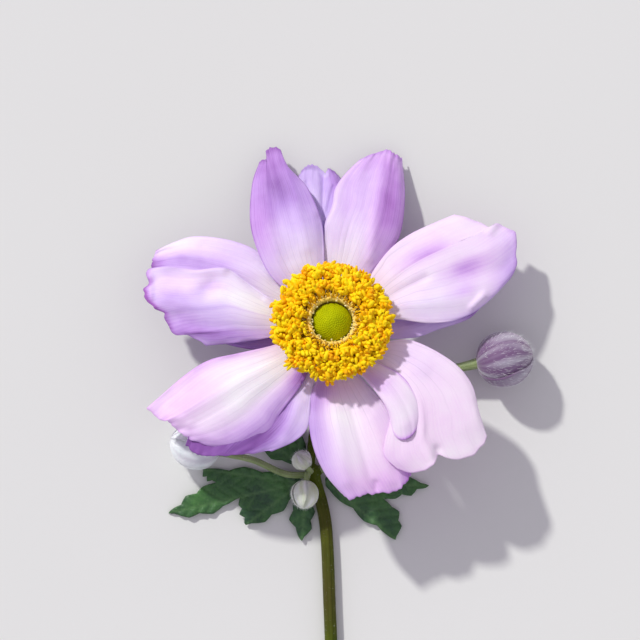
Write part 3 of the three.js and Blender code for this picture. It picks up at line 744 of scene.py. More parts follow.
class Shade(Wiring):
    """The nodes of one finish's material."""

    def __init__(self, finish: Finish) -> None:
        """Makes the material and sets its shader's constant values.

        Args:
            finish: The finish.
        """
        self.finish = finish
        self.material = bpy.data.materials.new(finish.name)
        self.material.use_nodes = True
        super().__init__(self.material.node_tree)
        self.shader = self.tree.nodes["Principled BSDF"].inputs
        self.shader["Roughness"].default_value = finish.roughness
        self.shader["Specular IOR Level"].default_value = finish.specular
        self.shader["Sheen Weight"].default_value = finish.sheen
        self.shader["Subsurface Weight"].default_value = finish.see_into
        self.shader["Subsurface Scale"].default_value = finish.see_into_depth * METRES
        self.shader["Subsurface Radius"].default_value = finish.see_into_tint

    def mask(self, name: str) -> Socket:
        """Reads a mask of the piece's points."""
        return self.node("ShaderNodeAttribute", attribute_name=name).outputs["Fac"]

    def spots(self) -> tuple[Socket, Socket]:
        """Places the cloud and grain group on the piece's own coordinates.

        Returns:
            The cloud and the grain.
        """
        scales = {"Cloud Scale": self.finish.cloud_scale, "Grain Scale": self.finish.grain_scale}
        place = self.node("ShaderNodeTexCoord").outputs["Object"]
        node = self.node("ShaderNodeGroup", {"Place": place, **scales}, node_tree=cloud_and_grain())
        return node.outputs["Cloud"], node.outputs["Grain"]

    def drawn(self, lines: Lines) -> Socket:
        """Draws lines along the piece, by its UV map.

        Args:
            lines: The lines' sizes.

        Returns:
            The group's mask.
        """
        sizes = {name.title(): value for name, value in asdict(lines).items()}
        place = self.out("ShaderNodeUVMap", uv_map="UVMap")
        return self.out("ShaderNodeGroup", {"Place": place, **sizes}, node_tree=vein_lines())

    def cover(self, skin: Socket, height: Socket, grain: Socket) -> Material:
        """Gives the shader its colour, fine relief and uneven roughness.

        Args:
            skin: The colour.
            height: The relief's height, from about -1 to 1.
            grain: The grain that makes the roughness uneven.

        Returns:
            The finished material.
        """
        finish = self.finish
        relief = {"Height": height, "Strength": finish.relief, "Distance": finish.relief_depth * METRES}
        self.feed(self.shader["Base Color"], skin)
        self.feed(self.shader["Normal"], self.out("ShaderNodeBump", relief))
        rough = self.math("MULTIPLY_ADD", grain, finish.unevenness, finish.roughness)
        self.feed(self.shader["Roughness"], rough)
        return self.material


WARM_PETAL = (
    (0.0, colour(254, 246, 252)),
    (0.25, colour(251, 226, 250)),
    (0.5, colour(241, 200, 247)),
    (0.75, colour(212, 155, 232)),
    (1.0, colour(166, 98, 188)),
)
COOL_PETAL = (
    (0.0, colour(248, 245, 254)),
    (0.25, colour(229, 216, 251)),
    (0.5, colour(205, 184, 240)),
    (0.75, colour(170, 138, 210)),
    (1.0, colour(116, 80, 152)),
)


@dataclass(frozen=True)
class PetalFinish(Finish):
    """Satin petal skin: white to mauve, with a fan of veins and fine streaks.

    Each tint says how much deeper the colour is made: by streaks and hairlines in step with the mask of colour
    depth, which holds painted shade and painted shadow as well as the petal's own colour, and everywhere, and by
    clouds, the underside and the rim. The veins fade on the way out and where that mask is deep.
    """

    relief_depth: float = 0.12
    cloud_scale: float = 260.0
    grain_scale: float = 5200.0
    unevenness: float = 0.2
    vein: Colour = colour(176, 160, 188)
    veins: Lines = Lines(11.0, 0.08, 0.09, 3.0)
    streaks: Lines = Lines(37.0, 0.5, 0.12, 17.0)
    hairlines: Lines = Lines(110.0, 0.5, 0.06, 41.0)
    streak_tint: Pair = (0.1, 0.02)
    hairline_tint: Pair = (0.05, 0.01)
    cloud_tint: float = 0.22
    under_tint: float = 0.22
    rim_tint: float = 0.16
    vein_fading: tuple[Pair, Pair] = ((0.25, 0.75), (1.0, 0.15))
    vein_paleness: tuple[Pair, Pair] = ((0.1, 0.6), (0.45, 0.12))
    vein_relief: float = -0.5
    streak_relief: float = -0.16
    hairline_relief: float = -0.1
    grain_relief: float = 0.3

    def material(self) -> Material:
        """Builds the material.

        Returns:
            The material.
        """
        shade = Shade(self)
        # The first mask is the colour's depth, painted shade and painted shadow included.
        blush, warmth, under, rim = (shade.mask(name) for name in ("blush", "warmth", "under", "rim"))
        cloud, grain = shade.spots()
        veins, streaks, hairlines = (shade.drawn(lines) for lines in (self.veins, self.streaks, self.hairlines))
        deep = blush
        for lines, tint in ((streaks, self.streak_tint), (hairlines, self.hairline_tint)):
            deep = shade.math("MULTIPLY_ADD", lines, shade.math("MULTIPLY_ADD", blush, *tint), deep)
        deep = shade.math("MULTIPLY_ADD", cloud, self.cloud_tint, deep)
        deep = shade.math("MULTIPLY_ADD", under, self.under_tint, deep)
        deep = shade.math("MULTIPLY_ADD", rim, self.rim_tint, deep, clamp=True)
        skin = shade.mix(warmth, shade.ramp(deep, COOL_PETAL), shade.ramp(deep, WARM_PETAL))
        along = shade.out("ShaderNodeSeparateXYZ", {0: shade.out("ShaderNodeUVMap", uv_map="UVMap")})
        fading = shade.map_range(along, *self.vein_fading)
        pale = shade.math("MULTIPLY", fading, shade.map_range(blush, *self.vein_paleness))
        skin = shade.mix(shade.math("MULTIPLY", veins, pale), skin, self.vein)
        height = shade.math("MULTIPLY", veins, shade.math("MULTIPLY", fading, self.vein_relief))
        height = shade.math("MULTIPLY_ADD", streaks, self.streak_relief, height)
        height = shade.math("MULTIPLY_ADD", hairlines, self.hairline_relief, height)
        height = shade.math("MULTIPLY_ADD", grain, self.grain_relief, height)
        return shade.cover(skin, height, grain)


@dataclass(frozen=True)
class GrownFinish(Finish):
    """Skin of a grown thing: two colours in clouds with grain, others in layers over them, and lines.

    A layer is a mask, its share where the mask is full, and a colour.
    """

    low: Colour = colour(0, 0, 0)
    high: Colour = colour(255, 255, 255)
    layers: Sequence[tuple[str, float, Colour]] = ()
    cloud_blend: Pair = (2.2, 0.5)
    grain_blend: float = 0.7
    lines: Lines | None = None
    line_paleness: float = 0.3
    line_relief: float = -0.8

    def material(self) -> Material:
        """Builds the material.

        Returns:
            The material.
        """
        shade = Shade(self)
        cloud, grain = shade.spots()
        blend = shade.math("MULTIPLY_ADD", cloud, *self.cloud_blend)
        blend = shade.math("MULTIPLY_ADD", grain, self.grain_blend, blend, clamp=True)
        skin = shade.mix(blend, self.low, self.high)
        height = grain
        for name, share, tint in self.layers:
            skin = shade.mix(shade.math("MULTIPLY", shade.mask(name), share), skin, tint)
        if self.lines:
            drawn = shade.drawn(self.lines)
            skin = shade.mix(shade.math("MULTIPLY", drawn, self.line_paleness), skin, self.low)
            height = shade.math("MULTIPLY_ADD", drawn, self.line_relief, grain)
        return shade.cover(skin, height, grain)


@dataclass(frozen=True)
class AntherFinish(Finish):
    """Golden pollen, of a tone that differs from anther to anther and in clouds."""

    relief_depth: float = 0.08
    cloud_scale: float = 900.0
    grain_scale: float = 9000.0
    unevenness: float = 0.2
    cloud_share: float = 0.9
    tones: Sequence[tuple[float, Colour]] = (
        (0.0, colour(250, 178, 2)), (0.35, colour(255, 212, 5)), (0.9, colour(255, 230, 16)),
    )

    def material(self) -> Material:
        """Builds the material.

        Returns:
            The material.
        """
        shade = Shade(self)
        cloud, grain = shade.spots()
        tone = shade.math("MULTIPLY_ADD", cloud, self.cloud_share, shade.mask("tone"))
        return shade.cover(shade.ramp(tone, self.tones), grain, grain)


@dataclass(frozen=True)
class Petal:
    """One petal: its outline on the plan, its rise and fall, its folds and its colour.

    The margins run from the claw to the corners and the edge from corner to corner, with left and right as
    seen from the flower's middle. level is 0 for the petals at the back and 3 for the one in front. A larger
    edge_hold keeps the shape of the edge to the petal's outermost part. frill is how ragged the edge is on the
    plan and crumple how far it rises and falls. Each patch of colour is soft. Most patches are the petal's own colour,
    and some are painted shade or painted shadow. A patch gives its share of the way out and across, its spread along
    and across, and how much deeper and warmer it is. A fold runs from one place of the plan to another, x and y of
    each, and has a width and a rise.
    """

    name: str
    level: float
    angle: float
    camber: float
    curl: Pair
    droop: float
    wave: Pair
    left: Outline
    edge: Outline
    right: Outline
    depth: float
    warmth: float
    blushes: Sequence[Row] = ()
    folds: Sequence[Row] = ()
    edge_hold: float = 1.0
    frill: float = 0.12
    crumple: float = 0.09

    @property
    def seed(self) -> int:
        """Gives the seed of the petal's own patterns."""
        return sum(ord(letter) for letter in self.name)

    def folded(self, x: Array, y: Array) -> Array:
        """Gives what the folds add to the petal's height.

        Args:
            x: The places' distance to the right.
            y: Their distance up.

        Returns:
            The rise at each place.
        """
        total = np.zeros_like(x)
        for start_x, start_y, end_x, end_y, width, rise in self.folds:
            way_x, way_y = end_x - start_x, end_y - start_y
            length = float(np.hypot(way_x, way_y))
            dx, dy = x - start_x, y - start_y
            run = (dx * way_x + dy * way_y) / length
            beyond = np.maximum(-run, 0) + np.maximum(run - length, 0)
            side = (dx * way_y - dy * way_x) / length
            total += rise * np.exp(-(side**2 + beyond**2) / width**2)
        return total


PETALS = (
    Petal(
        "petal_top_left", 2, 114, 0.5, (0.8, 0.2), 2.6, (0.3, 1.5),
        left=((-9.6, 6.9), (-12.9, 11.3), (-15.1, 18.1), (-14.9, 25.5)),
        edge=((-13.6, 30.0), (-12.0, 30.9), (-12.3, 32.0), (-11.2, 32.8), (-9.6, 32.3), (-9.2, 29.9)),
        right=((-1.3, 9.5), (-1.5, 14.7), (-2.0, 19.2), (-4.3, 24.7), (-6.4, 27.3)),
        depth=0.65, warmth=0.26, edge_hold=9.0,
        blushes=(
            (0.1, 0.6, 0.4, 0.5, -0.5, -0.1), (0.42, 0.5, 0.24, 0.6, -0.16, 0.0), (0.62, 0.12, 0.2, 0.22, 0.14, 0.4),
            (0.78, 0.55, 0.12, 0.25, 0.22, 0.0), (0.97, 0.4, 0.14, 0.6, 0.14, 0.3),
        ),
        folds=(
            (-7.6, 12.0, -12.2, 24.0, 1.5, -0.3), (-4.8, 14.0, -8.2, 28.0, 1.3, 0.3),
            (-1.3, 10.0, -2.0, 19.5, 1.0, -0.7),
        ),
    ),
    Petal(
        "petal_top_right", 1, 74, 0.2, (0.2, 3.0), 1.4, (0.2, 1.5),
        left=((-1.2, 8.5), (-1.5, 14.5), (-1.3, 18.5), (0.0, 21.8), (0.6, 25.0), (2.5, 27.8)),
        edge=((5.3, 30.5), (7.8, 31.6), (10.4, 32.4), (11.7, 31.6), (13.1, 30.7)),
        right=((6.5, 8.2), (10.6, 13.0), (12.8, 16.9), (13.6, 23.7)),
        depth=0.51, warmth=0.46,
        blushes=(
            (0.12, 0.35, 0.36, 0.5, -0.46, -0.15), (0.45, 0.45, 0.2, 0.2, -0.1, 0.0),
            # (0.68, 0.74) deepens a band down the right side: partly the petal's own purple, partly painted shade of
            # the flank that turns from the light.
            (0.5, 0.02, 0.4, 0.12, -0.14, 0.0), (0.68, 0.74, 0.28, 0.2, 0.32, 0.4), (0.5, 0.98, 0.3, 0.08, 0.12, 0.3),
            (0.95, 0.5, 0.1, 0.5, 0.08, 0.2),
        ),
        folds=((7.0, 12.0, 9.6, 30.0, 1.1, 0.35), (2.6, 12.0, 3.6, 26.0, 1.4, -0.22)),
    ),
    Petal(
        "petal_top_back", 0, 95, 0.1, (0.0, 0.0), 4.4, (0.2, 1.5),
        left=((-3.6, 8.0), (-6.6, 14.0), (-8.1, 20.0)),
        edge=((-6.4, 27.2), (-5.1, 29.2), (-3.3, 29.5), (-1.3, 28.3), (-0.4, 28.9), (1.5, 27.2)),
        right=((2.6, 8.0), (4.4, 14.0), (4.6, 20.0)),
        depth=0.52, warmth=0.12, frill=0.14,
        blushes=(
            (0.9, 0.85, 0.2, 0.2, 0.26, 0.2), (0.75, 0.4, 0.15, 0.16, -0.16, 0.0),
            (0.99, 0.6, 0.03, 0.14, -0.25, 0.0),
        ),
        folds=(
            (-1.8, 20.0, -1.5, 27.6, 0.5, -0.6), (-2.6, 20.8, -4.7, 26.1, 0.5, -0.35),
            (-1.0, 20.4, 0.3, 25.4, 0.4, -0.45), (-1.0, 27.6, -0.6, 28.6, 0.6, 0.5),
        ),
    ),
    Petal(
        "petal_right", 2, 20, 0.4, (0.3, 0.6), 1.2, (0.2, 2.0),
        left=((6.4, 7.6), (10.2, 13.1), (14.2, 16.3), (19.2, 18.7)),
        edge=(
            (22.8, 20.2), (26.2, 19.2), (29.4, 17.8), (30.5, 18.5), (32.5, 17.6), (34.1, 16.6), (34.2, 13.0),
            (33.9, 9.6), (31.6, 6.7), (29.2, 5.0), (27.5, 4.8),
        ),
        right=((7.4, -0.1), (11.8, 0.7), (17.5, 0.0), (22.8, 0.5), (26.0, 2.3)),
        depth=0.2, warmth=0.75, frill=0.16,
        blushes=(
            (0.6, 0.21, 0.15, 0.09, 0.48, -0.05), (0.7, 0.54, 0.11, 0.07, 0.42, -0.05),
            # (0.97, 0.72) and (0.85, 0.94) deepen the lower right: partly the petal's own mauve, partly painted shade
            # beside the curled lip.
            (0.67, 0.67, 0.07, 0.04, 0.26, -0.05), (0.97, 0.72, 0.12, 0.3, 0.38, -0.5),
            (0.85, 0.94, 0.2, 0.1, 0.3, -0.5), (0.4, 0.75, 0.3, 0.2, 0.02, -0.45),
        ),
        folds=(
            (9.0, 4.2, 17.4, 8.4, 0.8, -0.34), (13.0, 3.0, 25.0, 4.8, 1.8, 0.4), (20.0, 14.6, 29.0, 14.2, 2.4, 0.3),
            (24.0, 9.2, 31.6, 10.0, 1.8, -0.3), (29.4, 17.0, 30.4, 18.2, 0.8, 0.5), (26.0, 3.0, 28.0, 5.0, 0.7, 0.6),
        ),
    ),
    Petal(
        "petal_right_back", 0, 2, 0.2, (0.0, 1.2), 2.4, (0.2, 1.0),
        left=((8.4, 2.6), (14.4, 7.0), (20.9, 9.6)),
        edge=((26.5, 9.6), (28.6, 8.2), (29.2, 5.2), (27.9, 3.2)),
        right=((9.0, -2.9), (15.2, -2.7), (19.2, -1.4), (25.2, 0.7)),
        # Its deep colour and the tip patch (0.98, 0.75) are partly its own mauve, partly painted shade under the right
        # petal.
        depth=0.6, warmth=0.25,
        blushes=(
            (0.5, 0.95, 0.4, 0.3, -0.14, 0.0), (0.1, 0.5, 0.3, 0.6, -0.2, 0.0), (0.98, 0.75, 0.16, 0.3, 0.4, 0.1),
        ),
        folds=((10.0, -1.6, 22.0, 0.6, 0.9, 0.3),),
    ),
    Petal(
        "petal_lower_right", 2, 319, 0.3, (0.7, 0.2), 1.0, (0.4, 2.0),
        left=((8.6, -3.6), (14.6, -3.2), (21.9, -6.9), (25.7, -11.2), (27.1, -16.4)),
        edge=(
            (28.5, -20.6), (28.0, -22.2), (25.9, -24.4), (22.4, -25.1), (19.6, -24.4), (18.9, -26.0), (17.2, -27.0),
            (14.8, -27.7), (12.0, -26.8),
        ),
        right=((6.0, -8.6), (9.4, -14.0), (10.6, -17.6), (9.7, -21.6), (9.6, -24.4)),
        depth=0.19, warmth=0.95,
        blushes=(
            (0.75, 0.62, 0.2, 0.25, 0.08, 0.1), (0.98, 0.35, 0.07, 0.3, -0.1, 0.0),
            # (0.25, 0.3) is painted shadow of the stamen ring, deeper and cooler at the base.
            (0.95, 0.95, 0.16, 0.14, 0.2, 0.0), (0.25, 0.3, 0.24, 0.4, 0.12, -0.5),
        ),
        folds=(
            (15.0, -9.0, 24.0, -19.0, 2.0, 0.3), (13.5, -18.5, 17.6, -25.5, 1.1, -0.3),
            (18.5, -10.0, 26.0, -15.0, 1.4, -0.25), (19.4, -23.2, 19.5, -24.6, 0.7, -0.5),
        ),
    ),
    Petal(
        "petal_small", 2.7, 301, 0.5, (0.3, 0.3), 1.1, (0.2, 1.0),
        left=((7.4, -6.8), (12.2, -9.2), (15.2, -12.7), (16.3, -15.8)),
        edge=((16.3, -17.8), (15.3, -19.9), (14.2, -21.1), (12.8, -21.5), (11.6, -20.7), (10.8, -18.8)),
        right=((5.2, -9.4), (8.8, -13.6), (10.2, -16.2)),
        depth=0.13, warmth=0.8, frill=0.03, crumple=0.02,
        blushes=(
            (0.7, 0.0, 0.5, 0.05, 0.45, 0.0), (0.85, 1.0, 0.3, 0.06, 0.45, 0.0), (1.0, 0.5, 0.03, 0.6, 0.4, 0.0),
            # (0.4, 0.55) is painted shadow of the stamen ring on the base, and (0.72, 0.92) a line of painted shade
            # along the right margin.
            (0.4, 0.55, 0.18, 0.5, 0.44, -0.3), (0.72, 0.9, 0.2, 0.12, 0.22, 0.0), (0.95, 0.3, 0.12, 0.3, 0.16, 0.0),
        ),
        folds=((10.0, -11.5, 13.2, -18.5, 1.2, 0.25),),
    ),
    Petal(
        "petal_bottom", 1, 281, 0.4, (0.1, 0.6), 1.6, (0.3, 1.5),
        left=((4.8, -9.4), (9.8, -15.2), (12.6, -20.7), (14.2, -25.0)),
        edge=((14.6, -27.9), (13.6, -29.5), (11.8, -31.0), (8.2, -31.4), (5.5, -31.7), (3.3, -32.5), (1.6, -31.2)),
        right=((-2.2, -9.0), (-3.9, -13.4), (-4.3, -18.2), (-3.3, -23.4), (-1.2, -27.9)),
        depth=0.25, warmth=0.75,
        blushes=(
            (0.45, 0.55, 0.35, 0.2, -0.25, 0.0), (0.5, 0.96, 0.5, 0.24, 0.36, -0.45),
            # (0.27, 0.62) is painted shadow of the stamen ring on the base.
            (0.66, 0.32, 0.16, 0.14, 0.05, 0.3), (0.27, 0.62, 0.12, 0.3, 0.42, 0.0), (0.9, 0.45, 0.15, 0.3, 0.1, 0.2),
            (0.97, 0.55, 0.12, 0.5, 0.2, 0.1), (0.97, 0.08, 0.12, 0.14, 0.4, 0.1),
        ),
        folds=(
            (3.6, -16.0, 7.6, -30.6, 0.8, -0.35), (0.8, -16.0, 2.6, -29.0, 1.3, 0.3),
            (7.4, -18.0, 11.0, -29.0, 1.4, 0.25), (8.1, -29.4, 8.2, -31.4, 0.5, -0.5),
        ),
    ),
    Petal(
        "petal_lower_left", 1.8, 214, 0.5, (2.3, 0.3), 1.2, (0.3, 2.0),
        left=((-3.8, -6.8), (-5.3, -10.8), (-9.2, -16.2), (-11.3, -19.6), (-14.3, -21.7), (-17.5, -22.9)),
        edge=((-21.1, -23.2), (-26.0, -21.5), (-28.5, -19.8), (-30.2, -18.1), (-31.7, -17.8), (-34.2, -15.7)),
        right=((-8.0, -3.3), (-12.0, -4.4), (-17.4, -5.6), (-22.8, -6.9), (-27.4, -9.8)),
        depth=0.24, warmth=0.8,
        blushes=(
            (0.42, 0.44, 0.32, 0.32, -0.38, -0.1), (0.76, 0.72, 0.18, 0.2, 0.3, 0.2),
            # (0.6, 0.04) deepens the lower margin, partly its own lilac and partly painted shade where it turns from
            # the light; (0.2, 0.08) is painted shade in the gap by the claw.
            (0.98, 0.7, 0.08, 0.4, 0.14, 0.1), (0.6, 0.04, 0.5, 0.2, 0.48, -0.35), (0.2, 0.08, 0.13, 0.2, 0.5, -0.1),
            (0.5, 0.98, 0.4, 0.05, 0.3, 0.1), (0.95, 0.3, 0.08, 0.4, 0.1, 0.0),
        ),
        folds=(
            (-8.6, -9.4, -19.0, -20.6, 1.6, -0.14), (-10.0, -7.6, -27.0, -15.6, 2.0, 0.35),
            (-12.0, -5.6, -24.0, -9.0, 1.2, -0.2), (-26.6, -18.6, -30.6, -16.6, 1.0, 0.35),
        ),
    ),
    Petal(
        "petal_lower_left_back", 0.8, 238, 0.1, (0.2, -1.2), 0.8, (0.2, 1.0),
        left=((-2.8, -9.0), (-3.9, -14.0), (-4.4, -19.0), (-6.8, -21.7)),
        edge=((-11.1, -23.6), (-17.0, -24.3), (-21.6, -24.5), (-24.9, -24.2), (-27.0, -22.5)),
        right=((-6.6, -7.4), (-12.9, -10.6), (-19.5, -13.8), (-24.9, -18.0)),
        depth=0.53, warmth=0.14,
        blushes=(
            # (0.52, 0.29) and (0.82, 0.27) are painted shadow of the lower left petal, along its margin.
            (0.98, 0.88, 0.2, 0.26, 0.5, 0.3), (0.95, 0.5, 0.24, 0.5, 0.2, 0.1), (0.52, 0.29, 0.14, 0.09, 0.34, 0.1),
            (0.82, 0.27, 0.2, 0.1, 0.52, 0.1), (0.95, 0.6, 0.12, 0.25, 0.3, 0.1), (0.6, 0.1, 0.3, 0.24, -0.12, 0.1),
            (0.3, 0.1, 0.3, 0.2, -0.16, 0.0),
        ),
        folds=((-6.0, -15.0, -9.0, -21.5, 1.0, 0.3), (-9.0, -16.0, -14.0, -22.5, 0.9, -0.25)),
    ),
    Petal(
        "petal_left", 2, 176, 0.4, (1.3, 0.2), 1.4, (0.35, 2.0),
        left=((-7.6, -1.8), (-12.0, -2.8), (-17.3, -3.6)),
        edge=(
            (-23.3, -4.2), (-26.7, -2.3), (-29.5, -2.0), (-30.7, 1.3), (-33.2, 3.0), (-34.7, 4.8), (-34.6, 6.8),
            (-33.6, 10.0),
        ),
        right=((-6.9, 2.0), (-12.0, 5.0), (-16.3, 8.1), (-19.7, 10.2), (-25.2, 9.9), (-30.3, 10.5)),
        depth=0.4, warmth=0.22, frill=0.34, crumple=0.16,
        blushes=(
            (0.42, 0.72, 0.2, 0.22, -0.34, 0.3), (0.1, 0.5, 0.38, 0.6, -0.34, 0.0),
            # (0.55, 0.05) and (0.85, 0.22) deepen the lower side: partly the petal's own mauve, partly painted shade
            # where it faces down.
            (0.75, 0.9, 0.2, 0.12, -0.1, 0.45), (0.55, 0.05, 0.4, 0.2, 0.26, 0.1), (0.85, 0.22, 0.2, 0.14, 0.34, 0.1),
            (0.9, 0.4, 0.14, 0.3, 0.14, 0.15), (0.8, 0.66, 0.12, 0.14, 0.12, 0.0), (1.0, 0.68, 0.03, 0.3, 0.5, 0.7),
            (0.6, 0.8, 0.08, 0.07, 0.24, -0.1), (0.55, 0.5, 0.3, 0.04, 0.14, -0.1),
        ),
        folds=(
            (-13.0, 4.8, -18.6, 9.8, 0.7, -0.45), (-22.2, 7.0, -23.2, 6.2, 1.5, -0.8),
            (-20.4, 9.8, -30.6, 10.2, 1.1, 0.55), (-10.0, 0.4, -30.0, 3.6, 2.2, 0.3),
            (-11.0, -1.2, -27.0, -0.4, 1.1, -0.3), (-33.6, 4.4, -33.8, 8.6, 0.6, 0.5),
        ),
    ),
    Petal(
        "petal_upper_left", 1, 150, 0.2, (0.0, 0.4), 1.4, (0.2, 1.0),
        left=((-8.0, 2.4), (-15.0, 3.4), (-24.4, 6.0)),
        edge=((-31.4, 7.5), (-33.4, 9.2), (-33.5, 11.0), (-33.2, 12.2), (-32.7, 13.5)),
        right=((-6.2, 5.0), (-9.3, 7.7), (-12.0, 11.5), (-15.0, 14.0), (-20.0, 15.6), (-25.5, 16.1), (-29.2, 15.1)),
        depth=0.46, warmth=0.4, frill=0.06,
        blushes=(
            (0.85, 0.9, 0.24, 0.2, -0.28, 0.2), (0.12, 0.5, 0.34, 0.7, -0.46, 0.0), (0.99, 0.4, 0.06, 0.3, 0.3, 0.2),
            (0.8, 0.5, 0.3, 0.14, 0.18, -0.1), (1.0, 1.0, 0.03, 0.05, 0.5, 0.4),
        ),
        folds=((-12.0, 8.6, -28.0, 13.2, 1.2, 0.25), (-13.0, 10.6, -24.0, 14.2, 0.9, -0.2)),
    ),
    Petal(
        "petal_left_back", 0, 193, 0.1, (0.6, 0.0), 1.8, (0.2, 1.0),
        left=((-8.5, -4.0), (-14.7, -4.9), (-21.5, -3.3)),
        edge=((-28.1, -0.4), (-30.7, 1.7), (-31.3, 3.9), (-30.0, 5.6)),
        right=((-8.5, 1.2), (-15.2, 4.3), (-22.6, 6.4)),
        depth=0.74, warmth=0.3,
    ),
)


@dataclass(frozen=True)
class PetalWhorl:
    """The petals round the receptacle, in levels, each a step above the one behind it.

    Zones, starts and ends are shares of the way from the claw to the edge, or from the middle to a margin.
    """

    axis: FlowerAxis
    claw_radius: float = 4.1
    claw_half_width: float = 1.1
    claw_reach_in: float = 0.5
    level_step: float = 1.0
    level_spread: float = 0.55
    flower_radius: float = 32.0
    arch: float = 1.5
    floor_clearance: float = 0.31
    claw_thickness: float = 0.5
    blade_thickness: float = 0.24
    margin_thickness: float = 0.09
    rim_width: float = 0.035
    rows: int = 96
    columns: int = 64
    foot_rows: int = 2
    spread_end: float = 0.6
    curl_start: float = 0.2
    droop_start: float = 0.45
    camber_zone: Pair = (0.1, 0.6)
    fold_zone: Pair = (0.12, 0.45)
    edge_zone: Pair = (0.8, 1.0)
    side_zone: Pair = (0.82, 1.0)
    frill_zone: Pair = (0.9, 1.0)
    frill_rate: Pair = (14.0, 2.0)
    crumple_rate: Pair = (5.0, 9.0)
    pleats: Sequence[tuple[float, Pair]] = ((0.06, (0.9, 5.0)), (0.016, (2.0, 17.0)))
    side_thinning: float = 1.4
    thinning_width: float = 0.12
    claw_share: float = 0.25

    def outline_grid(self, petal: Petal, u: Array, v: Array) -> Array:
        """Spreads a grid between the petal's claw, margins and edge.

        Args:
            petal: The petal.
            u: Shares of the way out, from the claw to the edge.
            v: Shares of the way across, from left to right.

        Returns:
            Places of the plan, for each u and v.
        """
        angle = math.radians(petal.angle)
        height = petal.level * self.level_step
        corners = []
        for across in (1, -1):
            a = self.claw_radius * math.cos(angle) - across * self.claw_half_width * math.sin(angle)
            b = self.claw_radius * math.sin(angle) + across * self.claw_half_width * math.cos(angle)
            corners.append(self.axis.place(np.array(a), np.array(b), np.array(height))[:2])
        edge = np.array(petal.edge)
        left = even_spline(np.array([corners[0], *petal.left, edge[0]]), u)[:, None, :]
        right = even_spline(np.array([corners[1], *petal.right, edge[-1]]), u)[:, None, :]
        out = u[:, None, None] ** petal.edge_hold
        across = v[None, :, None]
        bow = spline(edge, v)[None] - lerp(edge[0], edge[-1], across)
        return lerp(left, right, across) + bow * out

    def height(self, petal: Petal, x: Array, y: Array, u: Array, v: Array) -> Array:
        """Gives the height of the petal's middle surface, with its folds, pleats and crumpled edge.

        Args:
            petal: The petal.
            x: The places' distance to the right.
            y: Their distance up.
            u: Their share of the way out.
            v: Their share of the way across.

        Returns:
            The height of each place.
        """
        reach = np.hypot(x, y)
        spread_end = self.flower_radius * self.spread_end
        spread = petal.level * self.level_spread * smoothstep(self.claw_radius, spread_end, reach)
        arch = self.arch * np.sin(math.pi * np.clip((reach - self.claw_radius) / self.flower_radius, 0, 1))
        across = 2 * v - 1
        camber = petal.camber * across**2
        camber += petal.curl[0] * np.maximum(0, -across - self.curl_start) ** 2
        camber += petal.curl[1] * np.maximum(0, across - self.curl_start) ** 2
        droop = petal.droop * np.maximum(0, (u - self.droop_start) / (1 - self.droop_start)) ** 2
        wave = petal.wave[0] * np.sin(2 * math.pi * petal.wave[1] * v) * u**3
        plane = self.axis.plane_height(y, petal.level * self.level_step)
        smooth = plane + spread + arch - camber * smoothstep(*self.camber_zone, u) - droop + wave
        pleats = sum(rise * ripple(u, v, rate, petal.seed + n) for n, (rise, rate) in enumerate(self.pleats))
        border = np.maximum(smoothstep(*self.edge_zone, u), smoothstep(*self.side_zone, np.abs(across)))
        crumple = petal.crumple * ripple(u, v, self.crumple_rate, petal.seed + 2) * border
        return smooth + smoothstep(*self.fold_zone, u) * (petal.folded(x, y) + pleats + crumple)

    def colour_masks(self, petal: Petal, u: Array, v: Array) -> tuple[Array, Array]:
        """Gives how deep and how warm the petal's colour is.

        Args:
            petal: The petal.
            u: The places' share of the way out.
            v: Their share of the way across.

        Returns:
            The depth and the warmth of each place, from 0 to 1.
        """
        depth = np.full_like(u, petal.depth)
        warmth = np.full_like(u, petal.warmth)
        # Some patches deepen the colour where shade or shadow falls: painted shade and painted shadow.
        for at_u, at_v, spread_u, spread_v, deeper, warmer in petal.blushes:
            near = np.exp(-(((u - at_u) / spread_u) ** 2) - ((v - at_v) / spread_v) ** 2)
            depth += deeper * near
            warmth += warmer * near
        return np.clip(depth, 0, 1), np.clip(warmth, 0, 1)

    def build(self, petal: Petal, material: Material) -> Piece:
        """Builds one petal as a thin closed sheet.

        Args:
            petal: The petal.
            material: Its finish.

        Returns:
            The petal's object, on the plan.
        """
        u = np.linspace(0, 1, self.rows)
        v = np.linspace(0, 1, self.columns)
        places = self.outline_grid(petal, u, v)
        along, across = grid(u, v)
        uneven = ripple(across, along, self.frill_rate, petal.seed + 3)
        ragged = petal.frill * uneven * smoothstep(*self.frill_zone, along)
        outward = places / np.linalg.norm(places, axis=-1, keepdims=True)
        places = places + outward * ragged[..., None]
        x = places[..., 0]
        y = places[..., 1]
        z = np.maximum(self.height(petal, x, y, along, across), self.floor_clearance)
        middle = np.stack([x, y, z], axis=-1)
        feet = self._feet(petal, middle[0])
        middle = np.concatenate([feet, middle])
        along = np.concatenate([np.zeros((len(feet), self.columns)), along])
        across = np.concatenate([across[: len(feet)], across])
        margin = np.minimum(np.minimum(across, 1 - across) * self.side_thinning, 1 - along)
        thickness = lerp(self.margin_thickness, self.blade_thickness, smoothstep(0.0, self.thinning_width, margin))
        thickness = lerp(self.claw_thickness, thickness, smoothstep(0.0, self.claw_share, along))
        half = sheet_normals(middle) * thickness[..., None] / 2
        # The depth mask holds painted shade and painted shadow as well as the petal's own colour.
        depth, warmth = self.colour_masks(petal, along, across)
        rim = 1 - smoothstep(0.0, self.rim_width, margin)
        skin = Skin()
        skin.add_sheet(
            middle + half, middle - half, along, across, blush=depth, warmth=warmth, rim=rim, under=(0.0, 1.0)
        )
        return skin.piece(f"{petal.name}_blade", [material])

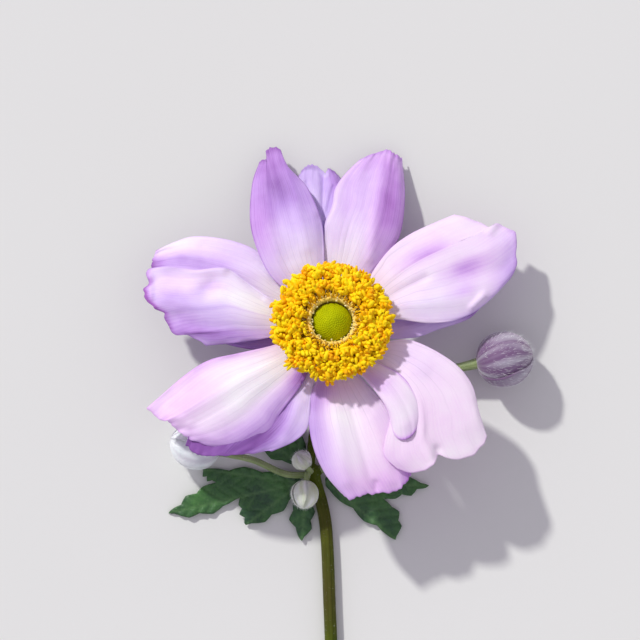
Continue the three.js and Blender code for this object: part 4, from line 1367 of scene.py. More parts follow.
    def _feet(self, petal: Petal, claw: Array) -> Array:
        """Runs the claw on into the receptacle.

        Args:
            petal: The petal.
            claw: The claw's row of points.

        Returns:
            The rows of points inside it, the innermost first.
        """
        angle = math.radians(petal.angle)
        inward = np.array([math.cos(angle), math.sin(angle) * math.cos(self.axis.lean)])
        feet = []
        for step in np.linspace(self.claw_reach_in, 0, self.foot_rows + 1)[:-1]:
            foot = claw.copy()
            foot[:, :2] -= inward * step
            foot[:, 2] = self.axis.plane_height(foot[:, 1], petal.level * self.level_step)
            feet.append(foot)
        return np.array(feet)


@dataclass(frozen=True)
class StamenRing:
    """Filaments that rise round the carpel head and spread, each with its two-lobed anther.

    The stamens stand in order from the ring's inner edge to its outer one. A jitter is the least and the most
    that chance adds to a stamen's measure.
    """

    count: int = 900
    ring_inner: float = 5.5
    ring_outer: float = 10.4
    height_inner: float = 9.5
    height_outer: float = 8.1
    root_inner: Pair = (4.25, 7.6)
    root_outer: Pair = (3.85, 3.2)
    elbow_inner: Pair = (4.5, 8.2)
    elbow_outer: Pair = (6.9, 4.6)
    reach_jitter: Pair = (-0.55, 0.55)
    height_jitter: Pair = (-1.1, 0.4)
    turn_jitter: Pair = (-0.1, 0.1)
    stray_jitter: Pair = (-0.09, 0.09)
    filament_radius: float = 0.135
    filament_points: int = 6
    filament_taper: float = 0.6
    anther_length: float = 1.6
    anther_width: float = 0.66
    anther_depth: float = 1.25
    anther_size: Pair = (0.75, 1.3)
    anther_tilt: Pair = (-1.1, 1.1)
    tip_start: float = 0.99
    lobe_offset: Pair = (0.42, 0.3)
    lobe_splay: float = 0.16
    lump_scale: float = 1.7
    lump_height: float = 0.35
    collar: Outline = (
        (2.5, 3.0), (3.9, 3.0), (4.0, 3.5), (4.2, 5.0), (4.5, 6.4), (4.75, 8.3), (4.45, 8.9), (3.98, 8.8), (3.84, 7.8),
        (3.8, 6.0), (3.5, 5.0), (3.2, 4.5), (2.8, 3.6),
    )
    collar_sides: int = 56
    collar_gilt: float = 0.7
    gilding: float = 5.0
    seed: int = 11

    def wisps(self) -> "StamenRing":
        """Gives the pale bare filaments that stand close round the head.

        Returns:
            Their ring.
        """
        return replace(
            self, count=360, ring_inner=4.0, ring_outer=5.4, height_inner=9.2, height_outer=9.7,
            root_inner=(4.0, 7.6), root_outer=(4.2, 7.6), elbow_inner=(4.0, 8.3), elbow_outer=(4.4, 8.5),
            filament_radius=0.15, anther_length=0.2, anther_width=0.16, gilding=2.0, seed=31,
        )

    def tree(self) -> Growth:
        """Builds the nodes that grow the ring round +Z.

        Returns:
            The growth.
        """
        growth = Growth("stamen_ring")
        wiring = growth.wiring
        size = growth.sizes(
            self, "count", "ring_inner", "ring_outer", "height_inner", "height_outer", "filament_radius",
            "anther_length", "anther_width", "seed",
        )
        materials = growth.materials("Filament Material", "Anther Material")
        curves = self._filament_curves(wiring, size)
        profile = wiring.geo("CurvePrimitiveCircle", Resolution=4, Radius=size.filament_radius)
        tubes = wiring.geo("CurveToMesh", Curve=curves, Profile_Curve=profile, Fill_Caps=True)
        heads = self._anthers(wiring, curves, size)
        parts = [wiring.dressed(part, material) for part, material in zip((tubes, heads), materials)]
        growth.finish(growth.entry["Geometry"], *parts)
        return growth

    def _filament_curves(self, wiring: Wiring, size: SimpleNamespace) -> Socket:
        """Places one bent curve for each stamen.

        Args:
            wiring: The growth's wiring.
            size: Its inputs.

        Returns:
            The curves.
        """
        points = wiring.geo("Points", Count=size.count)
        points = wiring.store(points, "number", wiring.geo("InputIndex"))
        line = wiring.geo("CurvePrimitiveLine")
        line = wiring.geo("ResampleCurve", Curve=line, Count=self.filament_points)
        placed = wiring.geo("RealizeInstances", Geometry=wiring.scattered(points, line))
        number = wiring.stored("number")
        t = wiring.node("GeometryNodeSplineParameter").outputs["Factor"]
        rank = wiring.math("DIVIDE", wiring.math("ADD", number, 0.5), size.count)
        areas = [wiring.math("POWER", radius, 2.0) for radius in (size.ring_inner, size.ring_outer)]
        area = wiring.between(*areas, rank)
        jitter = wiring.random(*self.reach_jitter, number, size.seed)
        reach = wiring.math("ADD", wiring.math("SQRT", area), jitter)
        height = wiring.between(size.height_inner, size.height_outer, rank)
        height = wiring.math("ADD", height, wiring.random(*self.height_jitter, number, size.seed, 1))
        root = [wiring.between(near, far, rank) for near, far in zip(self.root_inner, self.root_outer)]
        elbow = [wiring.between(near, far, rank) for near, far in zip(self.elbow_inner, self.elbow_outer)]
        distance, rise = (self._bend(wiring, t, *way) for way in zip(root, elbow, (reach, height)))
        own_turn = wiring.random(*self.turn_jitter, number, size.seed)
        turn = wiring.math("MULTIPLY_ADD", number, GOLDEN_ANGLE, own_turn)
        turn = wiring.math("MULTIPLY_ADD", wiring.random(*self.stray_jitter, number, size.seed, 2), t, turn)
        marked = wiring.store(placed, "along", t)
        marked = wiring.store(marked, "gilt", wiring.math("MULTIPLY", rank, self.gilding, clamp=True))
        place = wiring.polar(distance, turn, rise)
        bent = wiring.geo("SetPosition", Geometry=marked, Position=place)
        width = wiring.between(1.0, self.filament_taper, t)
        return wiring.geo("SetCurveRadius", Curve=bent, Radius=width)

    @staticmethod
    def _bend(wiring: Wiring, t: Socket, root: Value, elbow: Value, tip: Value) -> Socket:
        """Goes from root to tip, drawn towards the elbow on the way."""
        return wiring.between(wiring.between(root, elbow, t), wiring.between(elbow, tip, t), t)

    def _anthers(self, wiring: Wiring, curves: Socket, size: SimpleNamespace) -> Socket:
        """Sets a two-lobed anther on the end of each curve, turned every way.

        Args:
            wiring: The growth's wiring.
            curves: The filaments.
            size: The growth's inputs.

        Returns:
            The anthers.
        """
        width, length, seed = size.anther_width, size.anther_length, size.seed
        ends = wiring.node("GeometryNodeCurveToPoints", {"Curve": curves}, mode="EVALUATED").outputs
        early = wiring.math("LESS_THAN", wiring.stored("along"), self.tip_start)
        tips = wiring.out(
            "GeometryNodeDeleteGeometry", {"Geometry": ends["Points"], "Selection": early}, domain="POINT"
        )
        lobe = wiring.geo("MeshUVSphere", Segments=6, Rings=5, Radius=0.5)
        shape = wiring.xyz(width, wiring.math("MULTIPLY", width, self.anther_depth), length)
        lobes = wiring.node("GeometryNodeJoinGeometry")
        apart, lift = self.lobe_offset
        for side in (-1, 1):
            offset = wiring.xyz(
                wiring.math("MULTIPLY", width, apart * side), 0.0, wiring.math("MULTIPLY", length, lift)
            )
            pose = {"Translation": offset, "Rotation": (0.0, self.lobe_splay * side, 0.0), "Scale": shape}
            wiring.feed(lobes.inputs[0], wiring.geo("Transform", Geometry=lobe, **pose))
        number = wiring.stored("number")
        scale = wiring.random(*self.anther_size, number, seed, 3)
        heads = wiring.scattered(tips, lobes.outputs[0], Rotation=ends["Rotation"], Scale=scale)
        tilts = (self.anther_tilt, self.anther_tilt, (0.0, math.tau))
        tilt = wiring.xyz(*(wiring.random(*tilts[n], number, seed, 4 + n) for n in range(3)))
        heads = wiring.geo("RotateInstances", Instances=heads, Rotation=tilt)
        heads = wiring.store(heads, "tone", wiring.random(0.0, 1.0, number, seed, 7), "INSTANCE")
        heads = wiring.geo("RealizeInstances", Geometry=heads)
        texture = {"Vector": wiring.geo("InputPosition"), "Scale": self.lump_scale, "Detail": 1.0}
        lumps = wiring.node("ShaderNodeTexNoise", texture).outputs["Color"]
        offset = wiring.scaled(wiring.vector("SUBTRACT", lumps, (0.5, 0.5, 0.5)), self.lump_height)
        heads = wiring.geo("SetPosition", Geometry=heads, Offset=offset)
        return wiring.geo("SetShadeSmooth", Geometry=heads)

    def build(self, axis: FlowerAxis, filament: Material, anther: Material) -> Piece:
        """Grows the ring from its collar.

        Args:
            axis: The axis that it stands on.
            filament: Finish of the filaments.
            anther: Finish of the anthers.

        Returns:
            The ring's object, on the plan.
        """
        sides, around = self.collar_sides, len(self.collar)
        points = [(r * math.cos(a), r * math.sin(a), h) for a in turns(sides) for r, h in self.collar]
        faces = []
        for i in range(sides):
            for j in range(around):
                k = (i + 1) % sides
                m = (j + 1) % around
                faces.append((i * around + j, k * around + j, k * around + m, i * around + m))
        skin = Skin()
        skin.add(np.array(points), faces, gilt=np.full(len(points), self.collar_gilt))
        piece = skin.piece("stamen_ring", [filament, anther])
        for ring, heads in ((self, anther), (self.wisps(), filament)):
            ring.tree().run(piece, Filament_Material=filament, Anther_Material=heads, Seed=ring.seed)
        axis.stand(piece)
        return piece


@dataclass(frozen=True)
class CarpelHead:
    """The dome of tiny carpels at the flower's middle."""

    radius: float = 3.7
    height: float = 6.6
    foot: float = 3.6
    carpels: int = 900
    carpel_radius: float = 0.27
    carpel_rise: float = 0.12
    carpel_size: Pair = (0.85, 1.1)
    cover: float = 1.75
    core_sink: float = 0.8
    rings: int = 30
    sides: int = 48
    seed: int = 5

    @property
    def reach(self) -> float:
        """Gives how far the carpels' middles stand from the ball's."""
        return self.radius - self.carpel_rise

    def tree(self) -> Growth:
        """Builds the nodes that cover the ball with carpels.

        Returns:
            The growth.
        """
        growth = Growth("carpels")
        wiring = growth.wiring
        size = growth.sizes(self, "carpels", "reach", "carpel_radius", "carpel_rise", "seed")
        [material] = growth.materials("Material")
        index = wiring.geo("InputIndex")
        step = wiring.math("DIVIDE", wiring.math("ADD", index, 0.5), size.carpels)
        up = wiring.math("MULTIPLY_ADD", step, -self.cover, 1.0)
        ring = wiring.math("SQRT", wiring.math("SUBTRACT", 1.0, wiring.math("MULTIPLY", up, up)))
        outward = wiring.polar(ring, wiring.math("MULTIPLY", index, GOLDEN_ANGLE), up)
        place = wiring.vector("ADD", wiring.scaled(outward, size.reach), (0.0, 0.0, self.height))
        points = wiring.geo("Points", Count=size.carpels)
        points = wiring.geo("SetPosition", Geometry=points, Position=place)
        carpel = wiring.geo("MeshUVSphere", Segments=6, Rings=4, Radius=1.0)
        shape = wiring.xyz(size.carpel_radius, size.carpel_radius, size.carpel_rise)
        carpel = wiring.geo("Transform", Geometry=carpel, Scale=shape)
        turned = wiring.out("FunctionNodeAlignRotationToVector", {"Vector": outward}, axis="Z")
        scale = wiring.random(*self.carpel_size, index, size.seed)
        grown = wiring.scattered(points, carpel, Rotation=turned, Scale=scale)
        grown = wiring.geo("SetShadeSmooth", Geometry=grown)
        growth.finish(growth.entry["Geometry"], wiring.dressed(grown, material))
        return growth

    def build(self, axis: FlowerAxis, material: Material) -> Piece:
        """Builds the ball, flat at its foot, and covers it.

        Args:
            axis: The axis that it stands on.
            material: Its finish.

        Returns:
            The head's object, on the plan.
        """
        core = self.radius - self.carpel_rise * self.core_sink
        low = math.acos((self.foot - self.height) / core)
        polar, angle = grid(np.linspace(0.03, low, self.rings), turns(self.sides))
        out = core * np.sin(polar)
        up = self.height + core * np.cos(polar)
        points = np.stack([out * np.cos(angle), out * np.sin(angle), up], axis=-1)
        skin = Skin()
        skin.add(points.reshape(-1, 3), tube_faces(self.rings, self.sides))
        piece = skin.piece("carpel_dome", [material])
        self.tree().run(piece, Material=material, Seed=self.seed)
        axis.stand(piece)
        return piece


@dataclass(frozen=True)
class Down:
    """Short soft hairs on a bud or a stem."""

    length: float = 0.7
    radius: float = 0.018
    density: float = 3.0
    lean: Place = (0.0, 0.0, 0.0)
    seed: int = 3

    SIZES = ("length", "radius", "density", "lean", "seed")
    JITTER = (-0.45, 0.45)
    SIZE_RANGE = (0.5, 1.2)
    TIP_RADIUS = 0.004

    @classmethod
    @cache
    def tree(cls) -> Growth:
        """Builds the nodes that grow hairs where a piece's hairy mask is full.

        Returns:
            The growth.
        """
        growth = Growth("down")
        wiring = growth.wiring
        size = growth.sizes(cls(), *cls.SIZES)
        [material] = growth.materials("Material")
        body = growth.entry["Geometry"]
        density = wiring.math("MULTIPLY", size.density, wiring.stored("hairy"))
        roots = {"Mesh": body, "Density": density, "Seed": size.seed}
        spread = wiring.node("GeometryNodeDistributePointsOnFaces", roots, distribute_method="RANDOM").outputs
        index = wiring.geo("InputIndex")
        jitter = wiring.xyz(*(wiring.random(*cls.JITTER, index, size.seed, n) for n in (1, 2, 3)))
        way = wiring.vector("ADD", wiring.vector("ADD", spread["Normal"], size.lean), jitter)
        turned = wiring.out("FunctionNodeAlignRotationToVector", {"Vector": way}, axis="Z")
        radii = {"Radius_Top": cls.TIP_RADIUS, "Radius_Bottom": size.radius}
        hair = wiring.geo("MeshCone", Vertices=3, Side_Segments=1, Depth=size.length, **radii)
        scale = wiring.random(*cls.SIZE_RANGE, index, size.seed, 9)
        grown = wiring.scattered(spread["Points"], hair, Rotation=turned, Scale=scale)
        growth.finish(body, wiring.dressed(grown, material))
        return growth


@dataclass(frozen=True)
class Pelt:
    """What covers a downy piece: its finish, and its hairs' finish and sizes."""

    skin: Material
    hair: Material
    down: Down

    def cover(self, skin: Skin, name: str) -> Piece:
        """Makes the piece and grows its hairs.

        Args:
            skin: The piece's bodies.
            name: Its name.

        Returns:
            The piece.
        """
        piece = skin.piece(name, [self.skin, self.hair])
        sizes = {size.title(): getattr(self.down, size) for size in Down.SIZES}
        Down.tree().run(piece, Material=self.hair, **sizes)
        return piece


@dataclass(frozen=True)
class Bud:
    """A closed bud: tepals folded round each other over a core, with its foot on a stalk."""

    name: str
    foot: Place
    tip: Place
    radius: float
    lies: bool
    mauve: float
    roll: float
    tepals: int = 5
    overlap: float = 1.35
    thickness: float = 0.22
    rows: int = 40
    columns: int = 26
    tepal_ends: Pair = (0.01, 0.992)
    tuck: Pair = (0.28, 0.24)
    buckle: float = 0.04
    buckle_rate: Pair = (1.5, 4.0)
    narrowing: float = 0.25
    narrowing_start: float = 0.6
    margin: float = 0.78
    margin_thinning: float = 0.6
    mauve_change: float = 0.25
    mauve_rate: Pair = (1.0, 1.5)
    fullness: float = 0.94
    least_girth: float = 0.02
    twist: float = 0.5
    core_rows: int = 30
    core_sides: int = 40
    core_ends: Pair = (0.004, 0.985)
    core_depth: float = 0.45

    def frame_of_axis(self) -> tuple[Array, Array, Array, Array]:
        """Finds where the bud points.

        Returns:
            The foot, the axis with its length, and the two directions square to it.
        """
        foot = np.array(self.foot)
        axis = np.array(self.tip) - foot
        unit = axis / np.linalg.norm(axis)
        side = np.array([unit[1], -unit[0], 0.0])
        side /= np.linalg.norm(side)
        return foot, axis, side, np.cross(side, unit)

    def girth(self, along: Array) -> Array:
        """Gives the bud's radius along its axis, fullest a little below the middle."""
        return self.radius * np.sqrt(np.maximum(0, 1 - (2 * along**self.fullness - 1) ** 2))

    def skin_points(self, along: Array, angle: Array, sunk: Array | float) -> Array:
        """Places points of the bud's skin.

        Args:
            along: Their share of the way from foot to tip.
            angle: Their turn round the axis.
            sunk: How far they lie below the full girth.

        Returns:
            The points, on the plan.
        """
        foot, axis, side, up = self.frame_of_axis()
        reach = np.maximum(self.girth(along) - sunk, self.least_girth)
        turned = angle + self.twist * along + self.roll
        radial = side * np.cos(turned)[..., None] + up * np.sin(turned)[..., None]
        return foot + axis * along[..., None] + radial * reach[..., None]

    def build(self, pelt: Pelt) -> Piece:
        """Builds the bud.

        Args:
            pelt: What covers it.

        Returns:
            The bud's object, on the plan.
        """
        skin = Skin()
        along, angle = grid(np.linspace(*self.core_ends, self.core_rows), turns(self.core_sides))
        core = self.skin_points(along, angle, self.core_depth).reshape(-1, 3)
        skin.add(core, tube_faces(*along.shape), mauve=np.full(along.size, self.mauve))
        for number in range(self.tepals):
            self._add_tepal(skin, number)
        piece = pelt.cover(skin, self.name)
        if self.lies:
            low = min(vertex.co.z for vertex in piece.data.vertices)
            piece.data.transform(Matrix.Translation((0, 0, -low)))
        return piece

    def _add_tepal(self, skin: Skin, number: int) -> None:
        """Adds one tepal, tucked under its neighbour at one margin and over the other at the other.

        Args:
            skin: What it is added to.
            number: Its place round the bud.
        """
        along, across = grid(np.linspace(*self.tepal_ends, self.rows), np.linspace(-1, 1, self.columns))
        half = math.pi / self.tepals * self.overlap
        half = half * (1 - self.narrowing * smoothstep(self.narrowing_start, 1.0, along))
        angle = 2 * math.pi * number / self.tepals + across * half
        seed = number + len(self.name)
        sunk = self.tuck[0] - self.tuck[1] * across + self.buckle * ripple(along, across, self.buckle_rate, seed)
        edge = smoothstep(self.margin, 1.0, np.abs(across))
        thick = self.thickness * (1 - self.margin_thinning * edge)
        upper, lower = (self.skin_points(along, angle, depth) for depth in (sunk, sunk + thick))
        patch = self.mauve + self.mauve_change * ripple(along, across, self.mauve_rate, seed + 9)
        hairy = np.clip(1.1 - edge, 0, 1)
        skin.add_sheet(upper, lower, along, across / 2 + 0.5, mauve=np.clip(patch, 0, 1), hairy=(hairy, 0.0))


@dataclass(frozen=True)
class Stems:
    """The main stem with its node, the flower's stalk and receptacle, and the buds' stalks.

    A row of the node is a place and a radius. A row of the receptacle is its height along the flower's axis, its
    shift up the flower's face and its radius. Each bud's stalk has a radius and a path.
    """

    axis: FlowerAxis
    stem_radius: float = 1.2
    tip_share: float = 0.8
    tip_step: Place = (0.01, -0.02, 0.0)
    stem_path: Outline = ((2.4, -86.0), (0.4, -70.0), (-0.3, -55.0), (-1.1, -38.1), (-2.9, -30.2))
    stem_steps: int = 120
    node: Sequence[tuple[float, ...]] = (
        (-3.6, -28.8, 1.55, 1.6), (-3.5, -28.1, 1.7, 1.75), (-3.6, -27.4, 1.6, 1.5),
    )
    stalk_radius: float = 0.85
    stalk_path: Route = ((-4.0, -26.4, 1.5), (-3.4, -20.0, 2.4), (-2.2, -12.5, 4.2), (-0.8, -6.2, 6.0))
    stalk_steps: int = 60
    receptacle: Route = (
        (-2.2, -0.6, 1.1), (-1.3, -0.1, 1.7), (-0.7, 0.0, 3.0), (0.0, 0.0, 3.62), (1.2, 0.0, 3.7), (2.6, 0.0, 3.6),
        (2.72, 0.0, 2.4), (3.3, 0.0, 2.2),
    )
    sides: int = 28
    rib_count: int = 7
    rib_depth: float = 0.035
    purple: Pair = (0.35, 0.4)
    purple_rate: Pair = (6.0, 1.0)
    seed: int = 21
    hairy_rings: int = 180
    bud_stalks: Sequence[tuple[float, Route]] = (
        (0.62, (
            (-3.6, -28.3, 1.4), (-8.6, -28.2, 2.4), (-14.6, -25.6, 3.2), (-19.8, -24.4, 4.2), (-22.2, -23.8, 4.5),
        )),
        (0.8, (
            (-3.4, -27.8, 1.5), (4.0, -24.6, 1.5), (13.6, -17.4, 2.2), (20.4, -9.8, 4.2), (26.0, -7.8, 5.1),
            (28.4, -7.4, 5.3),
        )),
        (0.5, ((-3.7, -28.2, 1.6), (-3.9, -27.7, 3.2), (-4.5, -27.0, 4.3), (-4.9, -26.5, 4.8))),
        (0.55, ((-3.8, -28.0, 1.6), (-4.5, -28.2, 3.4), (-4.7, -29.0, 4.4), (-4.8, -30.0, 4.8))),
    )
    bud_stalk_sides: int = 18
    bud_stalk_steps: int = 56
    swell: float = 0.35
    swell_start: float = 0.86

    def build_stem(self, pelt: Pelt) -> Piece:
        """Builds the main stem up to the receptacle.

        Args:
            pelt: What covers it.

        Returns:
            The stem's object, on the plan.
        """
        lying = np.array([(x, y, self.stem_radius) for x, y in self.stem_path])
        lower = even_spline(lying, np.linspace(0, 1, self.stem_steps))
        upper = even_spline(np.array(self.stalk_path), np.linspace(0, 1, self.stalk_steps))
        knot = np.array(self.node)
        heights, shifts, girth = np.array(self.receptacle).T
        receptacle = self.axis.place(np.zeros(len(heights)), shifts, heights)
        start = lower[0] + np.array(self.tip_step)
        path = np.concatenate([start[None], lower, knot[:, :3], upper, receptacle])
        stem = np.full(len(lower), self.stem_radius)
        stalk = np.full(len(upper), self.stalk_radius)
        radii = np.concatenate([self.tip_share * stem[:1], stem, knot[:, 3], stalk, girth])
        ribs = 1 - self.rib_depth * (1 + np.cos(self.rib_count * turns(self.sides)))
        rings = tube_rings(path, radii[:, None] * ribs[None, :], self.sides)
        rings[..., 2] = np.maximum(rings[..., 2], 0.0)
        along, around = grid(np.linspace(0, 1, len(path)), np.arange(self.sides) / self.sides)
        share, change = self.purple
        purple = np.clip(share + change * ripple(along, around, self.purple_rate, self.seed), 0, 1)
        purple[-len(receptacle) :] = 0.0
        skin = Skin()
        hairy = np.repeat(np.arange(len(path)) < self.hairy_rings, self.sides)
        skin.add_tube(rings, purple=purple, hairy=hairy)
        return pelt.cover(skin, "main_stem")

    def build_stalks(self, pelt: Pelt) -> Piece:
        """Builds the stalks of the buds as one piece that meets the node.

        Args:
            pelt: What covers it.

        Returns:
            The stalks' object, on the plan.
        """
        skin = Skin()
        t = np.linspace(0, 1, self.bud_stalk_steps)
        swell = 1 + self.swell * smoothstep(self.swell_start, 1.0, t)
        for radius, points in self.bud_stalks:
            rings = tube_rings(even_spline(np.array(points), t), radius * swell, self.bud_stalk_sides)
            skin.add_tube(rings, hairy=np.ones(rings.shape[:2]))
        return pelt.cover(skin, "bud_stalks")


@dataclass(frozen=True)
class Lobe:
    """One lobe of a bract: its tip, the notch after it, and how far its sides bow out."""

    tip: Pair
    bow: Pair
    notch: Pair | None = None


@dataclass(frozen=True)
class Bract:
    """A lobed, toothed leaf that lies along the surface, with ribs sunk in its face."""

    name: str
    foot: tuple[Pair, Pair]
    lobes: Sequence[Lobe]
    teeth: int = 3
    tooth_depth: float = 0.7
    thickness: float = 0.3
    rise: float = 0.6
    fall_reach: float = 10.0
    ripple_height: float = 0.3
    ripple_reach: float = 2.6
    quilt_height: float = 0.22
    buckle_height: float = 0.35
    buckle_reach: float = 30.0
    buckle_rate: Pair = (4.0, 4.0)
    floor_clearance: float = 0.02
    rib_width: float = 0.22
    rib_depth: float = 0.16
    side_rib_step: float = 2.1
    side_rib_width: float = 0.09
    side_rib_share: float = 0.55
    spacing: float = 0.42
    row_spacing: float = 0.87
    margin_gap: float = 0.5
    margin_spacing: float = 0.3
    margin_bow: float = 0.14

    def _side(self, start: Array, end: Array, bow: float) -> list[Array]:
        """Runs one side of a lobe, bowed out to the right of its way and cut into teeth.

        Args:
            start: Where it starts.
            end: Where it ends.
            bow: How far it bows out.

        Returns:
            The points between its ends.
        """
        along = end - start
        out = np.array([along[1], -along[0]]) / np.linalg.norm(along)
        points = []
        for n in range(self.teeth):
            for step, depth in ((0.2, self.tooth_depth), (0.75, 0.0)):
                t = (n + step) / self.teeth
                cut = 0.0 if n == 0 else depth
                points.append(start + along * t + out * (bow * math.sin(math.pi * t) - cut))
        return points

    def outline(self) -> Array:
        """Draws the blade's outline, with each stretch cut finer than its teeth.

        Returns:
            Its points, one a row.
        """
        points = [np.array(self.foot[0])]
        for lobe in self.lobes:
            before = points[-1]
            tip = np.array(lobe.tip)
            end = np.array(lobe.notch if lobe.notch else self.foot[1])
            points += [*self._side(before, tip, lobe.bow[0]), tip]
            points += [*reversed(self._side(end, tip, -lobe.bow[1])), end]
        fine = []
        for here, ahead in zip(points, points[1:] + points[:1]):
            gap = ahead - here
            length = float(np.linalg.norm(gap))
            out = np.array([gap[1], -gap[0]]) / length
            for t in np.arange(0, 1, min(0.5, self.margin_spacing / length)):
                fine.append(here + gap * t + out * self.margin_bow * length * t * (1 - t))
        return np.array(fine)

    def ribs(self, place: Array) -> tuple[Array, Array]:
        """Gives each place its nearness to a rib, and its share of the way to the next side rib.

        Args:
            place: Places of the plan, one a row.

        Returns:
            The rib mask and the phase between side ribs.
        """
        foot = np.mean(np.array(self.foot), axis=0)
        nearest = np.full(len(place), np.inf)
        rib = np.zeros(len(place))
        phase = np.zeros(len(place))
        for lobe in self.lobes:
            along = np.array(lobe.tip) - foot
            length = float(np.linalg.norm(along))
            along = along / length
            offset = place - foot
            run = offset @ along
            side = np.abs(offset[:, 0] * along[1] - offset[:, 1] * along[0])
            away = side + np.maximum(-run, 0)
            step = (run - side) / self.side_rib_step
            closer = away < nearest
            middle = np.exp(-((side / self.rib_width) ** 2))
            beside = np.exp(-(((step - np.round(step)) / self.side_rib_width) ** 2)) * self.side_rib_share
            nearest = np.where(closer, away, nearest)
            rib = np.where(closer, np.maximum(middle, beside), rib)
            phase = np.where(closer, step, phase)
        return rib, phase

    def build(self, material: Material) -> Piece:
        """Builds the blade as a thin closed sheet.

        Args:
            material: Its finish.

        Returns:
            The bract's object, on the plan.
        """
        flat, triangles = self._flat_mesh()
        reach = np.linalg.norm(flat - np.mean(np.array(self.foot), axis=0), axis=1)
        fall = self.rise * np.maximum(0, 1 - reach / self.fall_reach) ** 2
        wave = self.ripple_height * np.sin(reach / self.ripple_reach) ** 2
        rib, phase = self.ribs(flat)
        quilt = self.quilt_height * np.sin(math.pi * phase) ** 2 - self.rib_depth * rib
        uneven = ripple(*(flat / self.buckle_reach).T, self.buckle_rate, len(self.name))
        buckle = self.buckle_height * (1 + uneven / 2)
        lower = np.column_stack([flat, fall + wave + np.maximum(quilt + buckle, self.floor_clearance)])
        upper = lower + np.array([0, 0, self.thickness])
        size = len(flat)
        faces = triangles + [tuple(size + corner for corner in reversed(face)) for face in triangles]
        sides = {pair: None for face in triangles for pair in zip(face, face[1:] + face[:1])}
        faces += [(a, size + a, size + b, b) for a, b in sides if (b, a) not in sides]
        under = np.repeat([0.0, 1.0], size)
        skin = Skin()
        skin.add(np.concatenate([upper, lower]), faces, rib=np.tile(rib, 2), under=under)
        return skin.piece(f"{self.name}_blade", [material])

    def _flat_mesh(self) -> tuple[Array, Faces]:
        """Fills the outline with even triangles.

        Returns:
            The points on the plan, one a row, and the triangles.
        """
        outline = self.outline()
        low = outline.min(axis=0)
        high = outline.max(axis=0)
        corners = [Vector(place) for place in outline.tolist()]
        for n, y in enumerate(np.arange(low[1], high[1], self.spacing * self.row_spacing)):
            for x in np.arange(low[0] + (n % 2) * self.spacing / 2, high[0], self.spacing):
                away = np.min(np.sum((outline - (x, y)) ** 2, axis=1))
                if away > (self.spacing * self.margin_gap) ** 2:
                    corners.append(Vector((float(x), float(y))))
        count = len(outline)
        edges = [(n, (n + 1) % count) for n in range(count)]
        result = delaunay_2d_cdt(corners, edges, [list(range(count))], 1, 1e-5)
        return np.array([tuple(corner) for corner in result[0]]), [tuple(face) for face in result[2]]


BUDS = (
    Bud("bud_left_closed", (-20.9, -24.2, 4.2), (-30.1, -21.6, 4.9), 4.6, True, 0.06, 0.3),
    Bud("bud_right_closed", (26.9, -7.6, 5.0), (37.5, -6.0, 5.4), 5.35, True, 0.95, 1.1),
    Bud("bud_small_upper_closed", (-4.6, -26.9, 4.4), (-6.6, -24.2, 6.0), 2.0, False, 0.3, 0.0),
    Bud("bud_small_lower_closed", (-4.7, -29.3, 4.6), (-5.5, -34.6, 5.4), 2.7, False, 0.35, 0.6),
)

SMALL_BUD = 3.0
BUD_LEAN = 1.6
BUD_DOWN = Down(0.8, 0.02, 3.0)
YOUNG_DOWN = Down(0.5, 0.016, 9.0)
STEM_DOWN = Down(0.4, 0.011, 1.0, (0.0, 0.5, 0.0), 8)
STALK_DOWN = Down(0.4, 0.013, 4.0, (0.0, 0.5, 0.0), 9)

BRACTS = (
    Bract(
        "bract_left", ((-5.7, -29.2), (-6.0, -30.8)),
        (
            Lobe((-24.2, -27.4), (1.3, 0.4), notch=(-21.6, -29.8)),
            Lobe((-30.6, -35.6), (1.0, 1.3), notch=(-17.2, -32.6)),
            Lobe((-16.1, -37.8), (0.8, 1.2)),
        ),
    ),
    Bract(
        "bract_right", ((-1.2, -30.4), (-1.2, -28.9)),
        (Lobe((11.9, -40.6), (0.9, 1.6), notch=(9.6, -32.8)), Lobe((18.2, -30.4), (1.0, 1.4))),
    ),
    Bract(
        "bract_back", ((-5.1, -25.9), (-6.3, -26.8)),
        (Lobe((-7.4, -13.6), (1.1, 1.2), notch=(-9.2, -20.6)), Lobe((-16.4, -19.6), (1.0, 1.2))),
    ),
    Bract("bract_small", ((-5.4, -31.3), (-4.5, -31.3)), (Lobe((-5.6, -40.8), (2.6, 1.2)),)),
)


